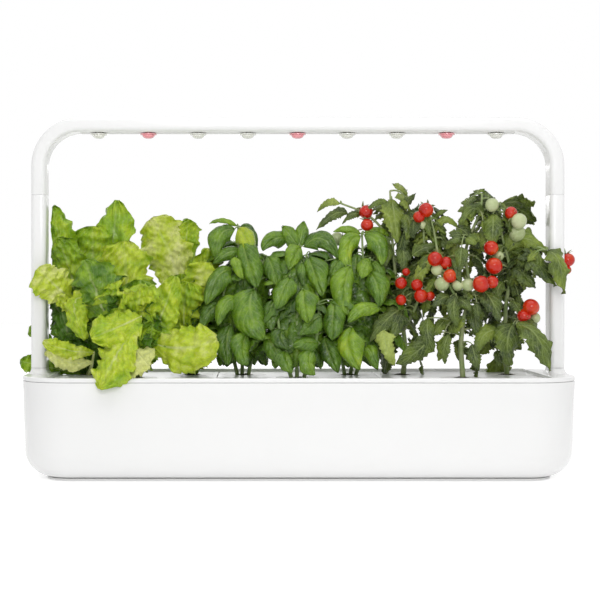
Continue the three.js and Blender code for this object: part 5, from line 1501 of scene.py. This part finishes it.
def rows_of(rows, pod):
    return [row[1:] for row in rows if row[0] == pod]


def seen_size(pixels, place):
    """The real size of what is that many pixels wide at that place."""
    return pixels * (place[1] - CAMERA_PLACE[1]) / FOCAL_PIXELS


def crown_of(pod, height=0.0):
    return np.array([*POD_PLACES[pod - 1], TRAY_TOP + height])


def seen_leaves(rows, pod, crown=None):
    """Start, bend, end, width and tint of the pod's leaves that the photograph shows."""
    for base, middle, tip, width, depth_base, depth_tip, tint in rows_of(rows, pod):
        end = pixel_point(*tip, depth_tip * MM)
        if base:
            start = pixel_point(*base, depth_base * MM)
            depth = (depth_base + depth_tip) / 2 - BEND_FORWARD
        else:
            start = crown
            depth = (depth_base + 2 * depth_tip) / 3
        yield start, pixel_point(*middle, depth * MM), end, seen_size(width, end), tint


def stem_lines(stems, pod):
    return [spline([pixel_point(x, y, depth * MM) for x, y, depth in row], STEM_POINTS)
            for row in rows_of(stems, pod)]


def nearest_below(lines, point):
    """The place on the stems that suits a leaf stalk: close by and a little lower."""
    places = np.concatenate(lines)
    gap = point - places
    cost = np.linalg.norm(gap, axis=1) + 2 * np.maximum(-gap[:, 2], 0)
    return places[cost.argmin()]


def tilted(draws, spread, lift):
    """A leaf's facing: towards the camera, turned and lifted a little at random."""
    return unit(TO_CAMERA + np.array([draws.uniform(-spread, spread), 0,
                                      draws.uniform(lift - spread / 2, lift + spread / 2)]))


def out_at(angle, along=1, across=1):
    """A level step in that direction, stretched along and across the tank."""
    return np.array([math.cos(angle) * along, math.sin(angle) * across, 0])


def out_from(pod, turn):
    """A leaf's reach from its pod, longer towards the tank's open long side."""
    open_side = np.array([0, np.sign(POD_PLACES[pod - 1][1]) * LEAF_OPEN_SHIFT, 0])
    return open_side + out_at(turn, LEAF_REACH_ALONG, LEAF_REACH_ACROSS)


def make_soil_plug(pod):
    """Coarse soil in the cup's opening, heaped a little round the crown."""
    draws = np.random.default_rng(SOIL_SEED + pod)
    plug = Foliage()
    share = np.linspace(0, 1, SOIL_RINGS)
    edge = POD_LID_HOLE - FIT_GAP
    radius = np.concatenate([edge * share, [edge, 0]])[:, None]
    top = TRAY_TOP - POD_FLANGE_THICKNESS
    height = np.concatenate([top + SOIL_HEAP * (1 - share ** 2), [top - SOIL_DEPTH] * 2])
    angle = circle(SOIL_SIDES)
    x, y = POD_PLACES[pod - 1]
    grid = np.stack([x + radius * np.cos(angle), y + radius * np.sin(angle),
                     np.tile(height[:, None], SOIL_SIDES)], axis=-1)
    crumbs = draws.uniform(-SOIL_CRUMBS, SOIL_CRUMBS, (SOIL_RINGS, SOIL_SIDES))
    crumbs[0] = 0
    grid[:SOIL_RINGS, :, 2] += crumbs
    plug.add(grid.reshape(-1, 3), grid_quads(len(grid), SOIL_SIDES, closed=True),
             np.zeros((grid.size // 3, 3)))
    plug.build(f"soil_plug_{pod}", SOIL, pod)


def add_lettuce_ring(pod, crown, leaves, draws):
    """Leaves on the plant's open side, low and high in turn."""
    count = RING_COUNTS[pod - 1]
    for leaf in range(count):
        out = out_from(pod, np.sign(crown[1]) * math.pi * (leaf + 0.5) / count)
        tip = crown + out + RING_HEIGHTS[leaf % 2] * UP
        bend = (crown + tip) / 2 + RING_BOW * UP
        LETTUCE_LEAF.make(leaves, crown, bend, tip, RING_WIDTH, unit(UP - RING_LEAN * unit(out)),
                          draws.uniform(*RING_TINTS), draws)


def add_lettuce_whorls(crown, leaves, draws):
    """Leaves all round the crown, shorter and steeper towards the heart."""
    for whorl, (count, reach, height, width) in enumerate(WHORLS):
        for leaf in range(count):
            angle = (leaf + 0.5 * whorl) / count * 2 * math.pi \
                + draws.uniform(-WHORL_SCATTER, WHORL_SCATTER)
            out = out_at(angle, WHORL_ALONG_SHARE)
            size = draws.uniform(*WHORL_SIZES)
            tip = crown + out * reach * size + height * size * UP
            bend = crown + out * reach * size * WHORL_BEND_SHARES[0] \
                + height * size * WHORL_BEND_SHARES[1] * UP
            facing = unit(UP * WHORL_FACING[0] - out * WHORL_FACING[1])
            LETTUCE_LEAF.make(leaves, crown, bend, tip, width * draws.uniform(*WHORL_WIDTHS),
                              facing, draws.uniform(*WHORL_TINTS), draws)


def make_lettuce(pod):
    draws = np.random.default_rng(LETTUCE_SEED + pod)
    leaves = Foliage()
    crown = crown_of(pod, LETTUCE_CROWN)
    for start, bend, end, width, tint in seen_leaves(LETTUCE_LEAVES, pod, crown):
        facing = tilted(draws, *LETTUCE_TILT)
        kind = LETTUCE_LEAF
        if start is not crown:
            kind = ROUND_LEAF
            add_stem(leaves, crown, (crown + start) / 2 + LETTUCE_STALK_BOW, start,
                     LETTUCE_STALK_RADII, 1.0, sides=8)
        kind.make(leaves, start, bend, end, width, facing, tint, draws)
    add_lettuce_ring(pod, crown, leaves, draws)
    add_lettuce_whorls(crown, leaves, draws)
    leaves.build(f"lettuce_leaves_{pod}", LETTUCE_TISSUE, pod, "lettuce_leaf")


def add_basil_fill(pod, lines, leaves, stems, draws):
    """Hanging leaves in a spiral round the middle of the stems."""
    for leaf in range(FILL_COUNT):
        out = out_at(GOLDEN_TURN * leaf + pod, FILL_REACH, FILL_REACH)
        if out[1] < 0:
            out[1] = out[1] * FILL_FRONT_SHARE
        height = TRAY_TOP + FILL_LOW + FILL_HEIGHT * (leaf + 0.5) / FILL_COUNT
        trunk = np.mean([line[np.abs(line[:, 2] - height).argmin()] for line in lines], axis=0)
        start = out * FILL_STEP_SHARE + np.array([trunk[0], trunk[1] + FILL_BACK, height])
        length = draws.uniform(*FILL_LENGTHS)
        end = start + out * FILL_STEP_SHARE - length * FILL_DROP * UP
        end[2] = max(end[2], TRAY_TOP + FILL_TIP_CLEARANCE)
        add_stalk(stems, nearest_below(lines, start), start, BASIL_STALK_RADII,
                  BASIL_STALK_BOW, 5)
        BASIL_LEAF.make(leaves, start, (start + end) / 2 + out * FILL_BEND_SHARE, end,
                        length * draws.uniform(*FILL_WIDTHS), unit(unit(out) + FILL_FACING),
                        draws.uniform(*FILL_TINTS), draws)


def add_basil_pairs(lines, leaves, stems, draws):
    """Pairs of leaves that stand out of each stem on opposite sides."""
    for foot in [line[place] for line in lines for place in PAIR_PLACES]:
        turn = draws.uniform(0, math.pi)
        for side in (0, math.pi):
            out = out_at(turn + side)
            if out[1] < PAIR_TURNED_FRONT:
                out[1] = -out[1]
            length = draws.uniform(*PAIR_LENGTHS)
            start = foot + out * PAIR_STALK[0] + PAIR_STALK[1] * UP
            bend = start + out * length * PAIR_BEND[0] + PAIR_BEND[1] * UP
            end = start + out * length * PAIR_TIP[0] - length * PAIR_TIP[1] * UP
            add_stalk(stems, foot, start, BASIL_STALK_RADII, 0, 5)
            BASIL_LEAF.make(leaves, start, bend, end, length * PAIR_WIDTH,
                            unit(out * PAIR_FACING + UP), draws.uniform(*PAIR_TINTS), draws)


def make_basil(pod):
    draws = np.random.default_rng(BASIL_SEED + pod)
    leaves, stems = Foliage(), Foliage()
    lines = stem_lines(BASIL_STEMS, pod)
    for line in lines:
        line[0] = crown_of(pod, STEM_CROWN) + (line[0] - crown_of(pod)) * BASIL_FOOT_SPREAD
        add_tube(stems, line, np.linspace(*BASIL_STEM_RADII, STEM_POINTS), BASIL_STEM_TINT,
                 STEM_SIDES)
    for start, bend, end, width, tint in seen_leaves(BASIL_LEAVES, pod):
        add_stalk(stems, nearest_below(lines, start), start, BASIL_STALK_RADII,
                  BASIL_STALK_BOW, 7)
        BASIL_LEAF.make(leaves, start, bend, end, width * BASIL_GROWTH,
                        tilted(draws, *BASIL_TILT), tint, draws)
    add_basil_fill(pod, lines, leaves, stems, draws)
    add_basil_pairs(lines, leaves, stems, draws)
    leaves.build(f"basil_leaves_{pod}", BASIL_TISSUE, pod, "basil_leaf")
    stems.build(f"basil_stems_{pod}", STEM_OF_KIND["basil"], pod, "basil_leaf")


def add_fruit(flesh, calyx, centre, radius, stalk_from, draws):
    """A cherry tomato with a dimpled top, five sepals and a bent stalk."""
    up = unit(stalk_from - centre + FRUIT_STALK_BOW * UP)
    side = unit(np.cross(up, FRUIT_LEAN))
    other = np.cross(up, side)
    turn = np.linspace(0, math.pi, FRUIT_RINGS)
    angle = circle(FRUIT_SIDES)
    dimple = DIMPLE_DEPTH * np.exp(-(turn / DIMPLE_TURN) ** 2)
    reach = radius * np.sin(turn)[:, None] * (1 + RIB_SHARE * np.cos(RIB_COUNT * angle))
    height = radius * (np.cos(turn) - dimple)[:, None] * FRUIT_HEIGHT
    points = centre + reach[..., None] * (side * np.cos(angle)[:, None]
                                          + other * np.sin(angle)[:, None]) \
        + height[..., None] * up
    flesh.add(points.reshape(-1, 3), grid_quads(FRUIT_RINGS, FRUIT_SIDES, closed=True),
              np.zeros((FRUIT_RINGS * FRUIT_SIDES, 3)))
    top = centre + up * radius * CALYX_HEIGHT
    for sepal in range(SEPALS):
        turn = (sepal + draws.uniform(-SEPAL_SCATTER, SEPAL_SCATTER)) / SEPALS * 2 * math.pi
        out = side * math.cos(turn) + other * math.sin(turn)
        end = top + out * radius * SEPAL_REACH + up * radius * draws.uniform(*SEPAL_TIPS)
        bend = top + out * radius * SEPAL_BEND[0] + up * radius * SEPAL_BEND[1]
        SEPAL.make(calyx, top, bend, end, radius * SEPAL_WIDTH, up, STALK_TINT, draws)
    add_stem(calyx, stalk_from, (top + stalk_from) / 2 + FRUIT_STALK_BOW * UP, top,
             FRUIT_STALK_RADII, FRUIT_STALK_TINT)


def add_compound(leaves, stems, foot, end, draws, facing, tint):
    """A tomato leaf: a drooping stalk with pairs of toothed leaflets and one at its end."""
    length = np.linalg.norm(end - foot)
    points, tangents = curve_points(foot, (foot + end) / 2 + length * COMPOUND_BOW * UP,
                                    foot + (end - foot) * COMPOUND_END_SHARE, COMPOUND_POINTS)
    add_tube(stems, points, np.linspace(*COMPOUND_STALK_RADII, COMPOUND_POINTS), STALK_TINT, 6)
    side = unit(np.cross(tangents, facing))
    for pair in range(PAIRS):
        place = int((COMPOUND_POINTS - 1) * (PAIRS_FROM + PAIRS_SPAN * pair / PAIRS))
        size = length * (LEAFLET_SIZE - LEAFLET_SHRINK * pair) * draws.uniform(*LEAFLET_SIZES)
        for hand in (-1, 1):
            start = points[place] + side[place] * hand * LEAFLET_OFFSET
            tip = start + side[place] * hand * size * LEAFLET_REACH[0] \
                + tangents[place] * size * LEAFLET_REACH[1] \
                - size * draws.uniform(*LEAFLET_DROPS) * UP
            add_stem(stems, points[place], (points[place] + start) / 2, start,
                     LEAFLET_STALK_RADII, STALK_TINT, 4, 5)
            shade = tint + draws.uniform(-LEAFLET_TINT_SPREAD, LEAFLET_TINT_SPREAD)
            TOMATO_LEAF.make(leaves, start, (start + tip) / 2 + facing * size * LEAFLET_ARCH,
                             tip, size * LEAFLET_WIDTH, facing, shade, draws)
    size = length * END_SIZE
    tip = points[-1] + tangents[-1] * size - size * END_DROP * UP
    TOMATO_LEAF.make(leaves, points[-1], (points[-1] + tip) / 2 + facing * size * END_ARCH, tip,
                     size * END_WIDTH, facing, tint, draws)


def add_tomato_sprays(pod, lines, leaves, stems, draws):
    """Compound leaves in a spiral up the main stem, and on the first two stems towards the back."""
    for leaf, share in enumerate(TOMATO_LEAF_SHARES):
        height = TRAY_TOP + TOMATO_HEIGHT * share
        foot = lines[0][int(np.abs(lines[0][:, 2] - height).argmin())]
        out = out_from(pod, GOLDEN_TURN * leaf + pod - 1)
        tip = np.array([*POD_PLACES[pod - 1], foot[2] - TOMATO_LEAF_DROP]) + out
        tip[0] = min(tip[0], TOMATO_END)
        if out[1] < 0 and share > FRUIT_SHARE:
            tip = foot + (tip - foot) * SHORT_LEAF_SHARE
        add_compound(leaves, stems, foot, tip, draws, unit(unit(out) + TOMATO_FACING),
                     draws.uniform(*TOMATO_TINTS))
    for foot in [line[place] for line in lines[:2] for place in SPRAY_PLACES]:
        out = out_at(draws.uniform(0.0, 1.0) * math.pi, SPRAY_SPREAD, SPRAY_SPREAD)
        length = draws.uniform(*SPRAY_LENGTHS)
        tip = foot + out * length - length * SPRAY_DROP * UP
        tip[0] = min(tip[0], TOMATO_END)
        add_compound(leaves, stems, foot, tip, draws, unit(out * SPRAY_LEAN + SPRAY_FACING),
                     draws.uniform(*SPRAY_TINTS))


def make_tomato(pod):
    draws = np.random.default_rng(TOMATO_SEED + pod)
    leaves, stems, ripe, unripe = Foliage(), Foliage(), Foliage(), Foliage()
    lines = stem_lines(TOMATO_STEMS, pod)
    thick, thin = TOMATO_STEM_RADII
    lines[0][0] = crown_of(pod, STEM_CROWN)
    for number, line in enumerate(lines):
        widest = thick * BRANCH_SHARE if number else thick
        add_tube(stems, line, np.linspace(widest, thin, STEM_POINTS), STALK_TINT, STEM_SIDES)
    for start, bend, end, width, tint in seen_leaves(TOMATO_LEAVES, pod):
        add_stalk(stems, nearest_below(lines, start), start, TOMATO_STALK_RADII,
                  TOMATO_STALK_BOW, 9)
        TOMATO_LEAF.make(leaves, start, bend, end, width, tilted(draws, *TOMATO_TILT), tint,
                         draws)
    for pixel, width, depth, is_ripe in rows_of(FRUIT, pod):
        centre = pixel_point(*pixel, depth * MM)
        anchor = nearest_below(lines, centre + FRUIT_ANCHOR_RISE * UP)
        add_fruit(ripe if is_ripe else unripe, stems, centre, seen_size(width / 2, centre),
                  anchor, draws)
    add_tomato_sprays(pod, lines, leaves, stems, draws)
    leaves.build(f"tomato_leaves_{pod}", TOMATO_TISSUE, pod, "tomato_leaf")
    stems.build(f"tomato_stems_{pod}", STEM_OF_KIND["tomato"], pod, "tomato_leaf")
    ripe.build(f"ripe_tomatoes_{pod}", RIPE, pod)
    unripe.build(f"unripe_tomatoes_{pod}", UNRIPE, pod)


def make_plants():
    for pod in PODS:
        (make_lettuce, make_basil, make_tomato)[(pod - 1) // PODS_PER_TRAY](pod)
        make_soil_plug(pod)


def dress_inner_nodes():
    """CAD nodes whose shape is right keep it, with softened edges and their own finish."""
    for name, node in frame["nodes"].items():
        if node.hide_render:
            continue
        node.data.materials.clear()
        node.data.materials.append(FINISH_OF_SLOT[SLOT_OF_NODE[name]])
        bevel = node.modifiers.new("soft_edges", "BEVEL")
        bevel.width = FIT_GAP / 2
        bevel.segments = 2
        bevel.limit_method = "ANGLE"


def make_stage():
    """A pale floor that keeps the object's shadow and shows white to the camera."""
    half, ground = FLOOR_HALF, -FIT_GAP / 10
    floor = add_object("floor", [(-half, -half, ground), (half, -half, ground),
                                 (half, half, ground), (-half, half, ground)],
                       [(0, 1, 2, 3)], WHITE_SHELL)
    finish = Finish("floor_white", Roughness=FLOOR_ROUGHNESS)
    finish.shader.inputs["Base Color"].default_value = (*[FLOOR_SHADE] * 3, 1)
    strength = level_for_rays(finish.tree, FLOOR_BOUNCE, FLOOR_GLOW)
    glow = finish.node("ShaderNodeEmission", {"Color": WHITE, "Strength": strength})
    total = finish.node("ShaderNodeAddShader", {0: finish.shader.outputs[0],
                                                1: glow.outputs[0]})
    finish.surface(total)
    floor.data.materials.clear()
    floor.data.materials.append(finish.material)


def make_world():
    """White behind the object and in reflections, and a dimmer light on the object itself."""
    world = bpy.data.worlds.new("studio")
    bpy.context.scene.world = world
    world.use_nodes = True
    background = world.node_tree.nodes["Background"]
    background.inputs["Color"].default_value = WHITE
    world.node_tree.links.new(level_for_rays(world.node_tree, WORLD_LIGHT, WORLD_SEEN),
                              background.inputs["Strength"])


def make_lights():
    for name, place, height_aimed, size, power in LIGHTS:
        data = bpy.data.lights.new(name, "AREA")
        data.shape = "RECTANGLE"
        data.size, data.size_y = size
        data.energy = power
        light = bpy.data.objects.new(name, data)
        light.location = place
        aim = Vector((0, 0, height_aimed)) - Vector(place)
        light.rotation_euler = aim.to_track_quat("-Z", "Y").to_euler()
        bpy.context.scene.collection.objects.link(light)


make_camera()
make_world()
make_lights()
make_stage()
make_tub()
make_rim()
make_trays()
make_pod_cups()
make_float()
make_arms()
make_arch()
make_lenses()
make_foot_plate()
make_plants()
dress_inner_nodes()

bpy.context.scene.view_settings.view_transform = "Standard"
